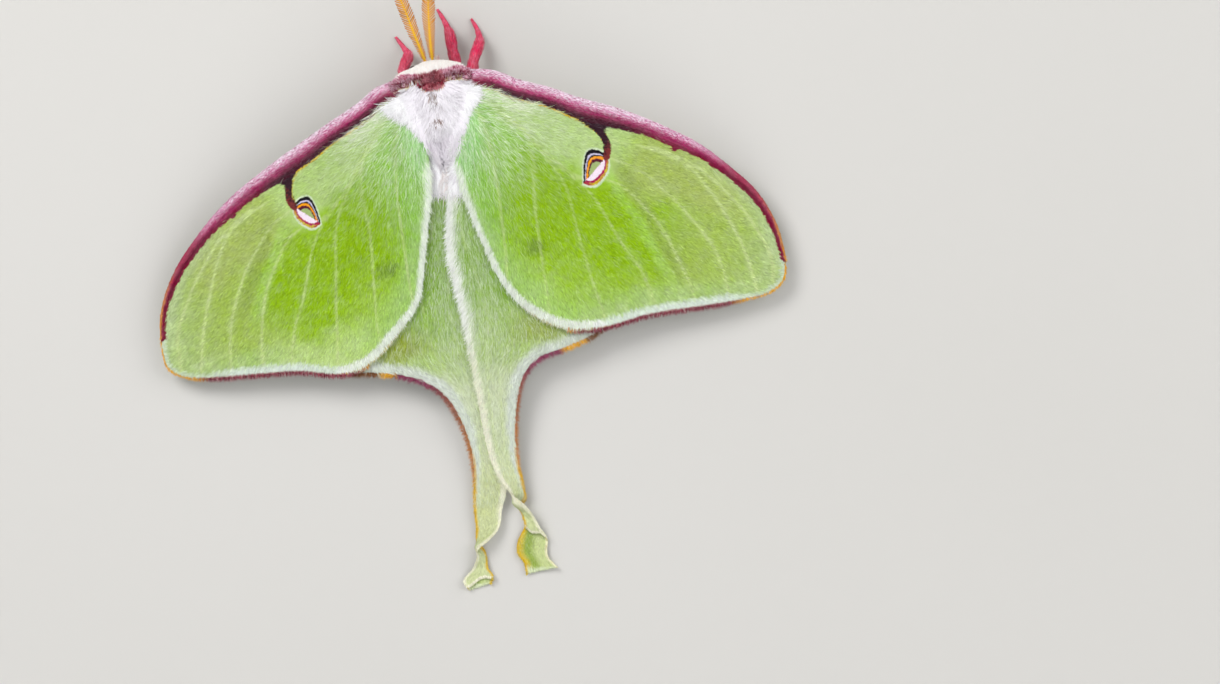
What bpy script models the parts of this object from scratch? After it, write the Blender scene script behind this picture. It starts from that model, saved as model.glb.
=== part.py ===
"""Luna moth, female, life size, resting with its wings spread.

The head points to -Y and the back is up.  All sizes below are millimetres
from the middle of the thorax on the floor; the finished model is shifted so
that its origin lies under the middle of its bounding box.

The wings lie as a shallow tent, highest over the thorax.  The two hindwings
lie over the abdomen, the right one on top, and the forewings lie over both.
The hindwing tails reach the floor, turn half over and end in a cupped spoon.
"""

import math

import bmesh
import bpy
import numpy as np
from mathutils import Vector

MM = 0.001

# ---------------------------------------------------------------- dimensions
WING_THICK = 0.5          # membrane with its scales
COSTA_THICK = 1.45        # furred front rib of the forewing at the shoulder
COSTA_TIP_THICK = 0.75    # the same rib near the apex
COSTA_WIDTH = 1.8         # width of that rib at the shoulder
COSTA_TIP_WIDTH = 0.8
GAP = 0.13                # clearance between neighbouring pieces
ORIGIN_X, ORIGIN_Y = -0.775, 26.373   # middle of the bounding box

# height of the tent over the floor, by distance from the thorax
TENT = ((0.0, 9.3), (9.0, 9.3), (12.0, 9.05), (15.0, 8.7), (20.0, 7.85),
        (25.0, 6.85), (30.0, 5.9), (40.0, 4.1), (50.0, 2.5), (56.0, 1.75),
        (70.0, 0.6))

# Forewing stations, from the body to the tip: (front edge, rear edge).
FOREWING_LEFT = {
    "root":     ((3.0, -2.9), (2.3, 9.8)),
    "shoulder": ((7.8, -2.1), (2.8, 13.6)),
    "arm":      ((11.2, -0.1), (3.9, 18.2)),
    "cell":     ((15.0, 1.7), (4.9, 22.4)),
    "mid":      ((18.8, 3.6), (6.4, 27.4)),
    "spot":     ((22.6, 5.5), (9.5, 31.1)),
    "bend":     ((26.1, 7.4), (13.9, 34.8)),
    "tornus":   ((29.5, 9.4), (18.1, 36.1)),
    "branch":   ((33.0, 12.0), (24.3, 34.9)),
    "outer":    ((36.2, 15.0), (29.5, 34.5)),
    "hook":     ((39.1, 18.2), (35.2, 34.2)),
    "falcate":  ((41.3, 21.8), (39.8, 33.6)),
    "apex":     ((42.4, 24.8), (42.4, 31.9)),
    "tip":      ((42.8, 27.4), (42.9, 29.4)),
}
FOREWING_RIGHT = {
    "root":     ((-3.0, -2.9), (-1.2, 10.3)),
    "shoulder": ((-7.7, -2.3), (-1.6, 13.4)),
    "arm":      ((-11.5, -0.4), (-2.4, 17.3)),
    "cell":     ((-15.5, 1.2), (-3.5, 21.5)),
    "mid":      ((-19.3, 3.1), (-5.0, 26.2)),
    "spot":     ((-23.2, 4.7), (-7.7, 30.5)),
    "bend":     ((-27.1, 6.6), (-12.3, 33.8)),
    "tornus":   ((-31.0, 8.9), (-17.6, 34.7)),
    "branch":   ((-34.8, 11.5), (-24.7, 33.8)),
    "outer":    ((-38.5, 15.1), (-31.8, 33.7)),
    "hook":     ((-41.7, 18.9), (-37.4, 33.6)),
    "falcate":  ((-43.7, 23.3), (-41.5, 33.1)),
    "apex":     ((-44.3, 26.6), (-43.7, 31.6)),
    "tip":      ((-44.45, 28.4), (-44.3, 29.9)),
}

# Hindwing stations, from the body to the end of the tail: (inner edge, outer
# edge), and in the tail the heights of both edges and how deep it is cupped.
HINDWING_LEFT = {
    "root":     ((1.5, 9.0), (2.6, 4.2)),
    "axil":     ((-0.8, 13.3), (8.4, 8.5)),
    "cell":     ((-1.1, 17.4), (14.0, 15.5)),
    "costa":    ((-1.2, 21.8), (18.4, 23.6)),
    "apex":     ((-1.0, 27.3), (20.7, 31.6)),
    "corner":   ((-1.1, 30.9), (18.1, 35.6)),
    "margin":   ((-1.0, 34.1), (14.4, 36.4)),
    "hollow":   ((-1.0, 37.6), (10.6, 37.3)),
    "bay":      ((-1.0, 41.1), (7.4, 38.7)),
    "neck":     ((-1.0, 44.5), (4.9, 40.9)),
    "strap_a":  ((-1.0, 47.2), (3.4, 44.0)),
    "strap_b":  ((-1.1, 49.8), (2.5, 47.7)),
    "strap_c":  ((-1.3, 52.6), (2.4, 51.7)),
    "widest":   ((-1.6, 55.0), (2.8, 54.5)),
    "lower":    ((-0.6, 57.8), (3.2, 57.3), 1.35, 1.35, 0.0),
    "pinch":    ((0.1, 60.2), (3.3, 59.8), 1.40, 1.15, 0.0),
    "turn_a":   ((1.7, 61.7), (3.5, 61.6), 1.95, 0.85, 0.0),
    "turn_b":   ((3.5, 62.9), (2.6, 62.9), 2.15, 0.62, 0.0),
    "turn_c":   ((3.8, 64.0), (2.4, 64.3), 1.75, 0.60, 0.0),
    "spoon_a":  ((4.6, 65.4), (2.4, 65.7), 0.95, 0.60, -0.25),
    "spoon_b":  ((6.1, 66.9), (1.9, 66.6), 0.60, 0.55, -0.40),
    "end":      ((5.6, 68.3), (2.3, 67.7), 0.60, 0.70, -0.38),
}
HINDWING_RIGHT = {
    "root":     ((-1.5, 9.0), (-2.6, 4.2)),
    "axil":     ((0.2, 13.4), (-8.2, 8.8)),
    "cell":     ((1.1, 17.4), (-13.2, 17.0)),
    "costa":    ((1.6, 21.4), (-17.8, 25.5)),
    "apex":     ((1.3, 26.4), (-20.9, 31.6)),
    "corner":   ((0.9, 30.2), (-17.3, 35.0)),
    "margin":   ((0.7, 34.2), (-12.6, 36.6)),
    "hollow":   ((0.5, 36.9), (-8.6, 37.6)),
    "bay":      ((0.5, 39.4), (-6.2, 39.8)),
    "neck":     ((0.4, 43.6), (-4.7, 44.0)),
    "strap_a":  ((0.2, 48.1), (-3.9, 48.4)),
    "strap_b":  ((-0.1, 50.7), (-3.8, 52.1)),
    "lower":    ((-0.9, 53.3), (-4.1, 54.9), 2.85, 2.10, 0.0),
    "turn_a":   ((-2.3, 55.8), (-4.1, 56.8), 2.75, 1.30, 0.0),
    "turn_b":   ((-3.8, 57.4), (-3.0, 57.7), 2.60, 0.75, 0.0),
    "turn_c":   ((-4.8, 59.1), (-3.3, 59.0), 2.00, 0.65, 0.0),
    "pinch":    ((-5.5, 60.9), (-3.4, 60.5), 1.40, 0.55, 0.0),
    "spoon_a":  ((-6.3, 62.6), (-2.2, 62.4), 0.85, 0.60, -0.40),
    "spoon_b":  ((-6.0, 64.4), (-1.9, 64.0), 0.65, 0.60, -0.45),
    "flare":    ((-6.1, 65.3), (-2.6, 65.4), 0.75, 0.60, -0.42),
    "end":      ((-7.2, 66.8), (-2.7, 67.1), 0.95, 0.55, -0.35),
}

# Body sections along Y: (y, centre x, centre z, half width, half height)
HEAD = ((-5.25, 0.40, 6.40, 0.70, 0.65), (-5.00, 0.40, 6.45, 1.70, 1.45),
        (-4.50, 0.35, 6.50, 2.60, 2.15), (-3.80, 0.25, 6.60, 3.20, 2.65),
        (-3.10, 0.15, 6.70, 3.50, 2.90), (-2.55, 0.10, 6.80, 3.60, 3.00))
THORAX = ((-2.42, 0.0, 6.80, 4.30, 3.60), (-1.90, 0.0, 6.80, 5.00, 4.10),
          (-0.80, 0.0, 6.80, 5.40, 4.40), (1.50, 0.0, 6.80, 5.50, 4.50),
          (4.00, 0.0, 6.60, 5.10, 4.40), (6.20, 0.0, 6.10, 4.40, 3.90),
          (8.00, 0.0, 5.50, 3.80, 3.50), (9.20, 0.0, 5.15, 3.60, 3.20))
ABDOMEN = ((9.33, 0.0, 5.12, 3.60, 3.18), (11.5, 0.0, 4.75, 4.05, 3.30),
           (14.5, 0.0, 4.40, 4.35, 3.35), (17.5, 0.0, 4.15, 4.30, 3.25),
           (20.2, 0.0, 3.90, 3.80, 2.90), (22.5, 0.0, 3.65, 2.90, 2.25),
           (24.3, 0.0, 3.45, 1.70, 1.35), (25.1, 0.0, 3.40, 0.60, 0.50))

EYE_RADIUS = 0.95
EYE_CENTRES = {"eye_left": (2.85, -3.75, 6.05), "eye_right": (-2.35, -3.75, 6.05)}

# Antennae: (x, y, z, half width of the comb)
ANTENNA_THICK = 0.5
ANTENNAE = {
    "antenna_left": ((1.00, -4.75, 7.75, 0.30), (1.35, -6.40, 8.75, 0.55),
                     (1.95, -8.80, 9.30, 0.85), (2.75, -12.2, 9.00, 0.90),
                     (3.45, -14.7, 8.30, 0.50), (3.65, -15.4, 8.05, 0.28)),
    "antenna_right": ((0.00, -4.75, 7.75, 0.30), (-0.05, -6.40, 8.75, 0.55),
                      (-0.20, -8.80, 9.30, 0.85), (-0.50, -12.2, 9.00, 0.90),
                      (-0.80, -14.7, 8.30, 0.50), (-0.90, -15.4, 8.05, 0.28)),
}

# Legs: hip, femur, knee, tibia, ankle, toe as (x, y, z, radius with its hair)
LEGS = {
    "foreleg_left": ((2.4, -1.4, 4.2, 0.70), (3.7, -2.9, 4.6, 0.75),
                     (4.3, -4.2, 4.4, 0.68), (3.5, -6.5, 2.3, 0.62),
                     (4.0, -7.8, 0.75, 0.40), (4.9, -9.4, 0.26, 0.28)),
    "foreleg_right": ((-1.8, -1.6, 3.8, 0.70), (-2.9, -4.0, 3.5, 0.75),
                      (-2.8, -5.9, 3.4, 0.70), (-2.6, -8.8, 2.1, 0.62),
                      (-2.1, -10.7, 0.75, 0.40), (-1.4, -12.4, 0.26, 0.28)),
    "midleg_left": ((3.2, 1.0, 4.0, 0.70), (5.9, 0.9, 5.0, 0.78),
                    (7.6, 1.3, 4.2, 0.70), (9.2, 2.6, 2.0, 0.60),
                    (10.0, 3.8, 0.7, 0.40), (10.8, 5.2, 0.26, 0.28)),
    "midleg_right": ((-3.2, 0.2, 4.0, 0.70), (-4.9, -2.2, 4.7, 0.75),
                     (-5.4, -4.2, 4.3, 0.70), (-6.6, -7.1, 2.2, 0.60),
                     (-6.5, -8.8, 0.75, 0.40), (-5.9, -10.4, 0.26, 0.28)),
    "hindleg_left": ((3.0, 4.2, 4.0, 0.70), (5.8, 5.6, 4.8, 0.80),
                     (7.2, 7.6, 3.8, 0.72), (8.5, 10.0, 1.9, 0.60),
                     (9.1, 11.6, 0.7, 0.42), (9.7, 13.3, 0.26, 0.28)),
    "hindleg_right": ((-3.0, 4.2, 4.0, 0.70), (-5.8, 5.6, 4.8, 0.80),
                      (-7.2, 7.6, 3.8, 0.72), (-8.5, 10.0, 1.9, 0.60),
                      (-9.1, 11.6, 0.7, 0.42), (-9.7, 13.3, 0.26, 0.28)),
}

FORE_RIBS, HIND_RIBS = 27, 44     # ribs along each wing
FORE_CHORD, HIND_CHORD = 5, 6     # panels across, behind the front rib
BODY_SIDES = 24

# ------------------------------------------------------------------ materials
COLOURS = {   # base colour, roughness
    "wing":    ((0.40, 0.60, 0.12, 1.0), 0.75),
    "fur":     ((0.86, 0.84, 0.80, 1.0), 0.90),
    "leg":     ((0.55, 0.12, 0.22, 1.0), 0.80),
    "antenna": ((0.80, 0.48, 0.07, 1.0), 0.60),
    "eye":     ((0.03, 0.02, 0.02, 1.0), 0.20),
}


def material(name, kind):
    colour, roughness = COLOURS[kind]
    mat = bpy.data.materials.new(name)
    mat.use_nodes = True
    shader = mat.node_tree.nodes["Principled BSDF"]
    shader.inputs["Base Color"].default_value = colour
    shader.inputs["Roughness"].default_value = roughness
    shader.inputs["Metallic"].default_value = 0.0
    return mat


# -------------------------------------------------------------------- helpers
def smooth(a, b, v):
    """0 at a, 1 at b, with a soft start and end."""
    t = min(1.0, max(0.0, (v - a) / (b - a)))
    return t * t * (3.0 - 2.0 * t)


def tent(x, y):
    """Height of the hindwings' middle layer over the floor."""
    r = math.hypot(x, y)
    xs, zs = zip(*TENT)
    # soften the table's corners by averaging over a short distance
    return float(np.mean([np.interp(max(r + d, 0.0), xs, zs) for d in (-2.0, -1.0, 0.0, 1.0, 2.0)]))


def fore_height(x, y):
    return tent(x, y) + 0.75 + 0.32 * smooth(9.0, 4.0, abs(x))


def left_hind_height(x, y):
    return tent(x, y) - 0.40 * smooth(6.0, 2.0, x)


def right_hind_height(x, y):
    return tent(x, y) + 0.40 * smooth(-7.0, -2.5, x)


def spline(points, count):
    """Centripetal Catmull-Rom curve through the points, evenly counted per span."""
    pts = [np.array(p, float) for p in points]
    pts = [2 * pts[0] - pts[1]] + pts + [2 * pts[-1] - pts[-2]]
    spans = len(pts) - 3
    out = []
    for i in range(count):
        u = i * spans / (count - 1)
        k = min(int(u), spans - 1)
        p0, p1, p2, p3 = pts[k:k + 4]
        t0 = 0.0
        t1 = t0 + max(np.linalg.norm(p1 - p0), 1e-6) ** 0.5
        t2 = t1 + max(np.linalg.norm(p2 - p1), 1e-6) ** 0.5
        t3 = t2 + max(np.linalg.norm(p3 - p2), 1e-6) ** 0.5
        t = t1 + (u - k) * (t2 - t1)
        a1 = (t1 - t) / (t1 - t0) * p0 + (t - t0) / (t1 - t0) * p1
        a2 = (t2 - t) / (t2 - t1) * p1 + (t - t1) / (t2 - t1) * p2
        a3 = (t3 - t) / (t3 - t2) * p2 + (t - t2) / (t3 - t2) * p3
        b1 = (t2 - t) / (t2 - t0) * a1 + (t - t0) / (t2 - t0) * a2
        b2 = (t3 - t) / (t3 - t1) * a2 + (t - t1) / (t3 - t1) * a3
        out.append((t2 - t) / (t2 - t1) * b1 + (t - t1) / (t2 - t1) * b2)
    return out


def new_object(name, mesh, kind):
    obj = bpy.data.objects.new(name, mesh)
    MODEL.objects.link(obj)
    if kind:
        mesh.materials.append(material(name, kind))
    return obj


def outward(bm):
    bmesh.ops.recalc_face_normals(bm, faces=bm.faces)
    if bm.calc_volume(signed=True) < 0:
        bmesh.ops.reverse_faces(bm, faces=bm.faces)


def grid_mesh(name, rows):
    """An open sheet of quads through rows of points (mm)."""
    mesh = bpy.data.meshes.new(name)
    verts = [tuple(MM * c for c in p) for row in rows for p in row]
    n = len(rows[0])
    faces = [(i * n + j, i * n + j + 1, (i + 1) * n + j + 1, (i + 1) * n + j)
             for i in range(len(rows) - 1) for j in range(n - 1)]
    mesh.from_pydata(verts, [], faces)
    bm = bmesh.new()
    bm.from_mesh(mesh)
    bmesh.ops.recalc_face_normals(bm, faces=bm.faces)
    bm.to_mesh(mesh)
    bm.free()
    return mesh


def thicken(obj, thick, weights=None):
    """Solidify about the middle surface; weights scale the thickness."""
    mod = obj.modifiers.new("thickness", "SOLIDIFY")
    mod.thickness = thick * MM
    mod.offset = 0.0
    mod.use_rim = True
    if weights is not None:
        group = obj.vertex_groups.new(name="thickness")
        for i, w in enumerate(weights):
            group.add([i], w, "REPLACE")
        mod.vertex_group = "thickness"


def cut(obj, cutter):
    mod = obj.modifiers.new("cut_" + cutter.name, "BOOLEAN")
    mod.operation = "DIFFERENCE"
    mod.object = cutter


def finish_mesh(obj, floor=False):
    """Apply the modifiers, drop loose crumbs, and flatten what meets the floor."""
    bpy.context.view_layer.update()
    depsgraph = bpy.context.evaluated_depsgraph_get()
    mesh = bpy.data.meshes.new_from_object(obj.evaluated_get(depsgraph))
    obj.modifiers.clear()
    obj.data = mesh
    bm = bmesh.new()
    bm.from_mesh(mesh)
    bmesh.ops.remove_doubles(bm, verts=bm.verts, dist=0.00002)
    bmesh.ops.dissolve_degenerate(bm, edges=bm.edges, dist=0.00001)
    # keep the largest connected body
    seen, groups = set(), []
    for start in bm.verts:
        if start in seen:
            continue
        stack, group = [start], []
        seen.add(start)
        while stack:
            v = stack.pop()
            group.append(v)
            for e in v.link_edges:
                w = e.other_vert(v)
                if w not in seen:
                    seen.add(w)
                    stack.append(w)
        groups.append(group)
    groups.sort(key=len)
    for group in groups[:-1]:
        bmesh.ops.delete(bm, geom=group, context="VERTS")
    if floor:
        for v in bm.verts:
            v.co.z = max(v.co.z, 0.0)
    bmesh.ops.triangulate(bm, faces=bm.faces)
    outward(bm)
    bm.to_mesh(mesh)
    bm.free()
    mesh.shade_smooth()
    mesh.set_sharp_from_angle(angle=math.radians(50))
    return obj


# ----------------------------------------------------------------------- body
def body_rings(sections, swell=0.0):
    """Elliptical rings, smoothed between the named sections."""
    stations = spline(sections, 2 * (len(sections) - 1) + 1)
    rings = []
    for k, (y, cx, cz, w, h) in enumerate(stations):
        ring = []
        if swell and k == 0:
            y -= swell
        if swell and k == len(stations) - 1:
            y += swell
        for s in range(BODY_SIDES):
            a = 2.0 * math.pi * s / BODY_SIDES
            c, n = math.cos(a), math.sin(a)
            # a little squarer than an ellipse
            fc = math.copysign(abs(c) ** 0.92, c)
            fn = math.copysign(abs(n) ** 0.92, n)
            ring.append((cx + (w + swell) * fc, y, cz + (h + swell) * fn))
        rings.append(ring)
    return rings


def body_loft(name, rings, kind):
    bm = bmesh.new()
    loops = [[bm.verts.new(Vector(p) * MM) for p in ring] for ring in rings]
    for a, b in zip(loops, loops[1:]):
        for i in range(BODY_SIDES):
            j = (i + 1) % BODY_SIDES
            bm.faces.new((a[i], a[j], b[j], b[i]))
    bm.faces.new(loops[0])
    bm.faces.new(loops[-1])
    outward(bm)
    mesh = bpy.data.meshes.new(name)
    bm.to_mesh(mesh)
    bm.free()
    mesh.shade_smooth()
    return new_object(name, mesh, kind)


def as_cutter(obj):
    MODEL.objects.unlink(obj)
    CUTTERS.objects.link(obj)
    obj.hide_render = True
    obj.display_type = "WIRE"
    return obj


def eye(name, centre, radius, kind):
    bm = bmesh.new()
    bmesh.ops.create_uvsphere(bm, u_segments=14, v_segments=9, radius=radius * MM)
    for v in bm.verts:
        v.co.x *= 0.82
    bmesh.ops.translate(bm, verts=bm.verts, vec=Vector(centre) * MM)
    mesh = bpy.data.meshes.new(name)
    bm.to_mesh(mesh)
    bm.free()
    mesh.shade_smooth()
    return new_object(name, mesh, kind)


# ----------------------------------------------------------------------- legs
def leg(name, joints):
    curve = bpy.data.curves.new(name, "CURVE")
    curve.dimensions = "3D"
    curve.bevel_depth = MM
    curve.bevel_resolution = 2
    curve.use_fill_caps = True
    curve.render_resolution_u = 0
    path = spline(joints, 13)
    line = curve.splines.new("POLY")
    line.points.add(len(path) - 1)
    for point, (x, y, z, r) in zip(line.points, path):
        point.co = (x * MM, y * MM, z * MM, 1.0)
        point.radius = r
    tube = bpy.data.objects.new(name + "_path", curve)
    MODEL.objects.link(tube)
    bpy.context.view_layer.update()
    depsgraph = bpy.context.evaluated_depsgraph_get()
    mesh = bpy.data.meshes.new_from_object(tube.evaluated_get(depsgraph))
    bpy.data.objects.remove(tube)
    bm = bmesh.new()
    bm.from_mesh(mesh)
    bmesh.ops.remove_doubles(bm, verts=bm.verts, dist=0.00001)
    outward(bm)
    bm.to_mesh(mesh)
    bm.free()
    mesh.materials.clear()
    return new_object(name, mesh, "leg")


def antenna(name, path):
    """A flat comb: three points across each rib, then Solidify."""
    pts = spline(path, 15)
    rows = []
    for i, (x, y, z, w) in enumerate(pts):
        a, b = pts[max(i - 1, 0)], pts[min(i + 1, len(pts) - 1)]
        along = Vector((b[0] - a[0], b[1] - a[1], b[2] - a[2])).normalized()
        side = along.cross(Vector((0, 0, 1))).normalized()
        rows.append([(x + side.x * w * s, y + side.y * w * s, z - 0.12 * abs(s)) for s in (-1, -0.5, 0, 0.5, 1)])
    obj = new_object(name, grid_mesh(name, rows), "antenna")
    thicken(obj, ANTENNA_THICK)
    return obj


# ---------------------------------------------------------------------- wings
def forewing(name, stations):
    front = spline([s[0] for s in stations.values()], FORE_RIBS)
    rear = spline([s[1] for s in stations.values()], FORE_RIBS)
    rows, weights = [], []
    for i, (f, r) in enumerate(zip(front, rear)):
        chord = float(np.linalg.norm(r - f))
        out = smooth(0, FORE_RIBS - 1, i)
        width = min(COSTA_WIDTH + (COSTA_TIP_WIDTH - COSTA_WIDTH) * out, 0.45 * chord)
        thick = COSTA_THICK + (COSTA_TIP_THICK - COSTA_THICK) * out
        stops = [0.0, 0.22 * width / chord, 0.6 * width / chord, width / chord]
        bulk = [0.55 * thick, 0.92 * thick, thick, 0.9 * WING_THICK + 0.1 * thick]
        for k in range(1, FORE_CHORD + 1):
            stops.append(stops[3] + (1.0 - stops[3]) * k / FORE_CHORD)
            bulk.append(WING_THICK)
        row = []
        for t, b in zip(stops, bulk):
            p = f + (r - f) * t
            row.append((p[0], p[1], fore_height(p[0], p[1])))
            weights.append(max(b, WING_THICK) / COSTA_THICK)
        rows.append(row)
    obj = new_object(name, grid_mesh(name, rows), "wing")
    thicken(obj, COSTA_THICK, weights)
    return obj


def hindwing(name, stations, height):
    names = list(stations)
    inner = spline([stations[n][0] for n in names], HIND_RIBS)
    outer = spline([stations[n][1] for n in names], HIND_RIBS)
    # the tail's own heights, from the first station that states them
    tail, first = [], None
    for k, n in enumerate(names):
        (a, b), rest = stations[n][:2], stations[n][2:]
        if rest:
            first = k if first is None else first
            tail.append(rest)
        else:
            tail.append((height(*a), height(*b), 0.0))
    tail = spline(tail, HIND_RIBS)
    rows = []
    for i, (a, b) in enumerate(zip(inner, outer)):
        station = i * (len(names) - 1) / (HIND_RIBS - 1)
        loose = smooth(first - 2, first, station)
        za, zb, cup = tail[i]
        row = []
        for k in range(HIND_CHORD + 1):
            t = k / HIND_CHORD
            x, y = a + (b - a) * t
            laid = height(x, y)
            ribbon = za + (zb - za) * t + cup * 4.0 * t * (1.0 - t)
            row.append((x, y, laid + (ribbon - laid) * loose))
        rows.append(row)
    obj = new_object(name, grid_mesh(name, rows), "wing")
    thicken(obj, WING_THICK)
    return obj


# ---------------------------------------------------------------------- build
for old in list(bpy.data.objects):
    bpy.data.objects.remove(old, do_unlink=True)

MODEL = bpy.data.collections.new("luna_moth")
CUTTERS = bpy.data.collections.new("cutters")
bpy.context.scene.collection.children.link(MODEL)
bpy.context.scene.collection.children.link(CUTTERS)

head = body_loft("head", body_rings(HEAD), "fur")
thorax = body_loft("thorax", body_rings(THORAX), "fur")
abdomen = body_loft("abdomen", body_rings(ABDOMEN), "fur")
head_cutter = as_cutter(body_loft("head_room", body_rings(HEAD, GAP), None))
thorax_cutter = as_cutter(body_loft("thorax_room", body_rings(THORAX, GAP), None))
abdomen_cutter = as_cutter(body_loft("abdomen_room", body_rings(ABDOMEN, GAP), None))

for eye_name, centre in EYE_CENTRES.items():
    eye(eye_name, centre, EYE_RADIUS, "eye")
    room = as_cutter(eye(eye_name + "_room", centre, EYE_RADIUS + GAP, None))
    cut(head, room)
finish_mesh(head)
finish_mesh(thorax)
finish_mesh(abdomen)
for eye_name in EYE_CENTRES:
    finish_mesh(bpy.data.objects[eye_name])

for name, joints in LEGS.items():
    obj = leg(name, joints)
    cut(obj, thorax_cutter)
    cut(obj, head_cutter)
    finish_mesh(obj, floor=True)

for name, path in ANTENNAE.items():
    obj = antenna(name, path)
    cut(obj, head_cutter)
    finish_mesh(obj)

for name, stations in (("forewing_left", FOREWING_LEFT), ("forewing_right", FOREWING_RIGHT)):
    obj = forewing(name, stations)
    cut(obj, thorax_cutter)
    finish_mesh(obj)

for name, stations, height in (("hindwing_left", HINDWING_LEFT, left_hind_height),
                               ("hindwing_right", HINDWING_RIGHT, right_hind_height)):
    obj = hindwing(name, stations, height)
    cut(obj, thorax_cutter)
    cut(obj, abdomen_cutter)
    finish_mesh(obj, floor=True)

# Put the origin under the middle of the bounding box.
for obj in list(MODEL.objects) + list(CUTTERS.objects):
    for v in obj.data.vertices:
        v.co.x -= ORIGIN_X * MM
        v.co.y -= ORIGIN_Y * MM
    obj.data.update()
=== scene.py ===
import math

import bpy
import numpy as np
from mathutils import Matrix, Vector
from mathutils.kdtree import KDTree


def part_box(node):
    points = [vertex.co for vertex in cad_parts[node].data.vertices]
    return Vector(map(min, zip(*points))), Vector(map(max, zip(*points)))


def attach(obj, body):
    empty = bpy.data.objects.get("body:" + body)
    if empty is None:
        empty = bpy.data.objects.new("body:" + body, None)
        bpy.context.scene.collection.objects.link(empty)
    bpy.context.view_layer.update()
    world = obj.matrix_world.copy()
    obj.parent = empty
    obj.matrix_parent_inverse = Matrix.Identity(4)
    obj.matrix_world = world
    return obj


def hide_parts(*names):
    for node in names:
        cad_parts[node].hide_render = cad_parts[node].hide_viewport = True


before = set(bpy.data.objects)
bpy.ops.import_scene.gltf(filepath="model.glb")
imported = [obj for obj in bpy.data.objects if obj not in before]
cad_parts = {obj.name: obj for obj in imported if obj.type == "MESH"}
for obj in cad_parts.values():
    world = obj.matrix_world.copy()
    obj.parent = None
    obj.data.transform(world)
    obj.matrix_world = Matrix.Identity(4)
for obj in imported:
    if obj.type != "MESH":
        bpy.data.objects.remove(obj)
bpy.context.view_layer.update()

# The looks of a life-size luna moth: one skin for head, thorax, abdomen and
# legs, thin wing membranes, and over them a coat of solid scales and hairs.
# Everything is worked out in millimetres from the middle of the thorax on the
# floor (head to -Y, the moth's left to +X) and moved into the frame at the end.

MM = 0.001
FULL = 1.0          # share of the coat that is made
rng = np.random.default_rng(20)

_lo, _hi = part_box("thorax")
SHIFT = np.array([(_lo.x + _hi.x) / 2 / MM, _lo.y / MM + 2.42, 0.0])

# ------------------------------------------------------------ the moth's plan
COSTA_THICK, COSTA_TIP_THICK = 1.45, 0.75
COSTA_WIDTH, COSTA_TIP_WIDTH = 1.8, 0.8
TENT = ((0.0, 9.3), (9.0, 9.3), (12.0, 9.05), (15.0, 8.7), (20.0, 7.85),
        (25.0, 6.85), (30.0, 5.9), (40.0, 4.1), (50.0, 2.5), (56.0, 1.75),
        (70.0, 0.6))

# Forewing stations from the body to the tip: (front edge, rear edge)
FOREWING = {
    "left": (((3.0, -2.9), (2.3, 9.8)), ((7.8, -2.1), (2.8, 13.6)),
             ((11.2, -0.1), (3.9, 18.2)), ((15.0, 1.7), (4.9, 22.4)),
             ((18.8, 3.6), (6.4, 27.4)), ((22.6, 5.5), (9.5, 31.1)),
             ((26.1, 7.4), (13.9, 34.8)), ((29.5, 9.4), (18.1, 36.1)),
             ((33.0, 12.0), (24.3, 34.9)), ((36.2, 15.0), (29.5, 34.5)),
             ((39.1, 18.2), (35.2, 34.2)), ((41.3, 21.8), (39.8, 33.6)),
             ((42.4, 24.8), (42.4, 31.9)), ((42.8, 27.4), (42.9, 29.4))),
    "right": (((-3.0, -2.9), (-1.2, 10.3)), ((-7.7, -2.3), (-1.6, 13.4)),
              ((-11.5, -0.4), (-2.4, 17.3)), ((-15.5, 1.2), (-3.5, 21.5)),
              ((-19.3, 3.1), (-5.0, 26.2)), ((-23.2, 4.7), (-7.7, 30.5)),
              ((-27.1, 6.6), (-12.3, 33.8)), ((-31.0, 8.9), (-17.6, 34.7)),
              ((-34.8, 11.5), (-24.7, 33.8)), ((-38.5, 15.1), (-31.8, 33.7)),
              ((-41.7, 18.9), (-37.4, 33.6)), ((-43.7, 23.3), (-41.5, 33.1)),
              ((-44.3, 26.6), (-43.7, 31.6)), ((-44.45, 28.4), (-44.3, 29.9))),
}
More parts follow.
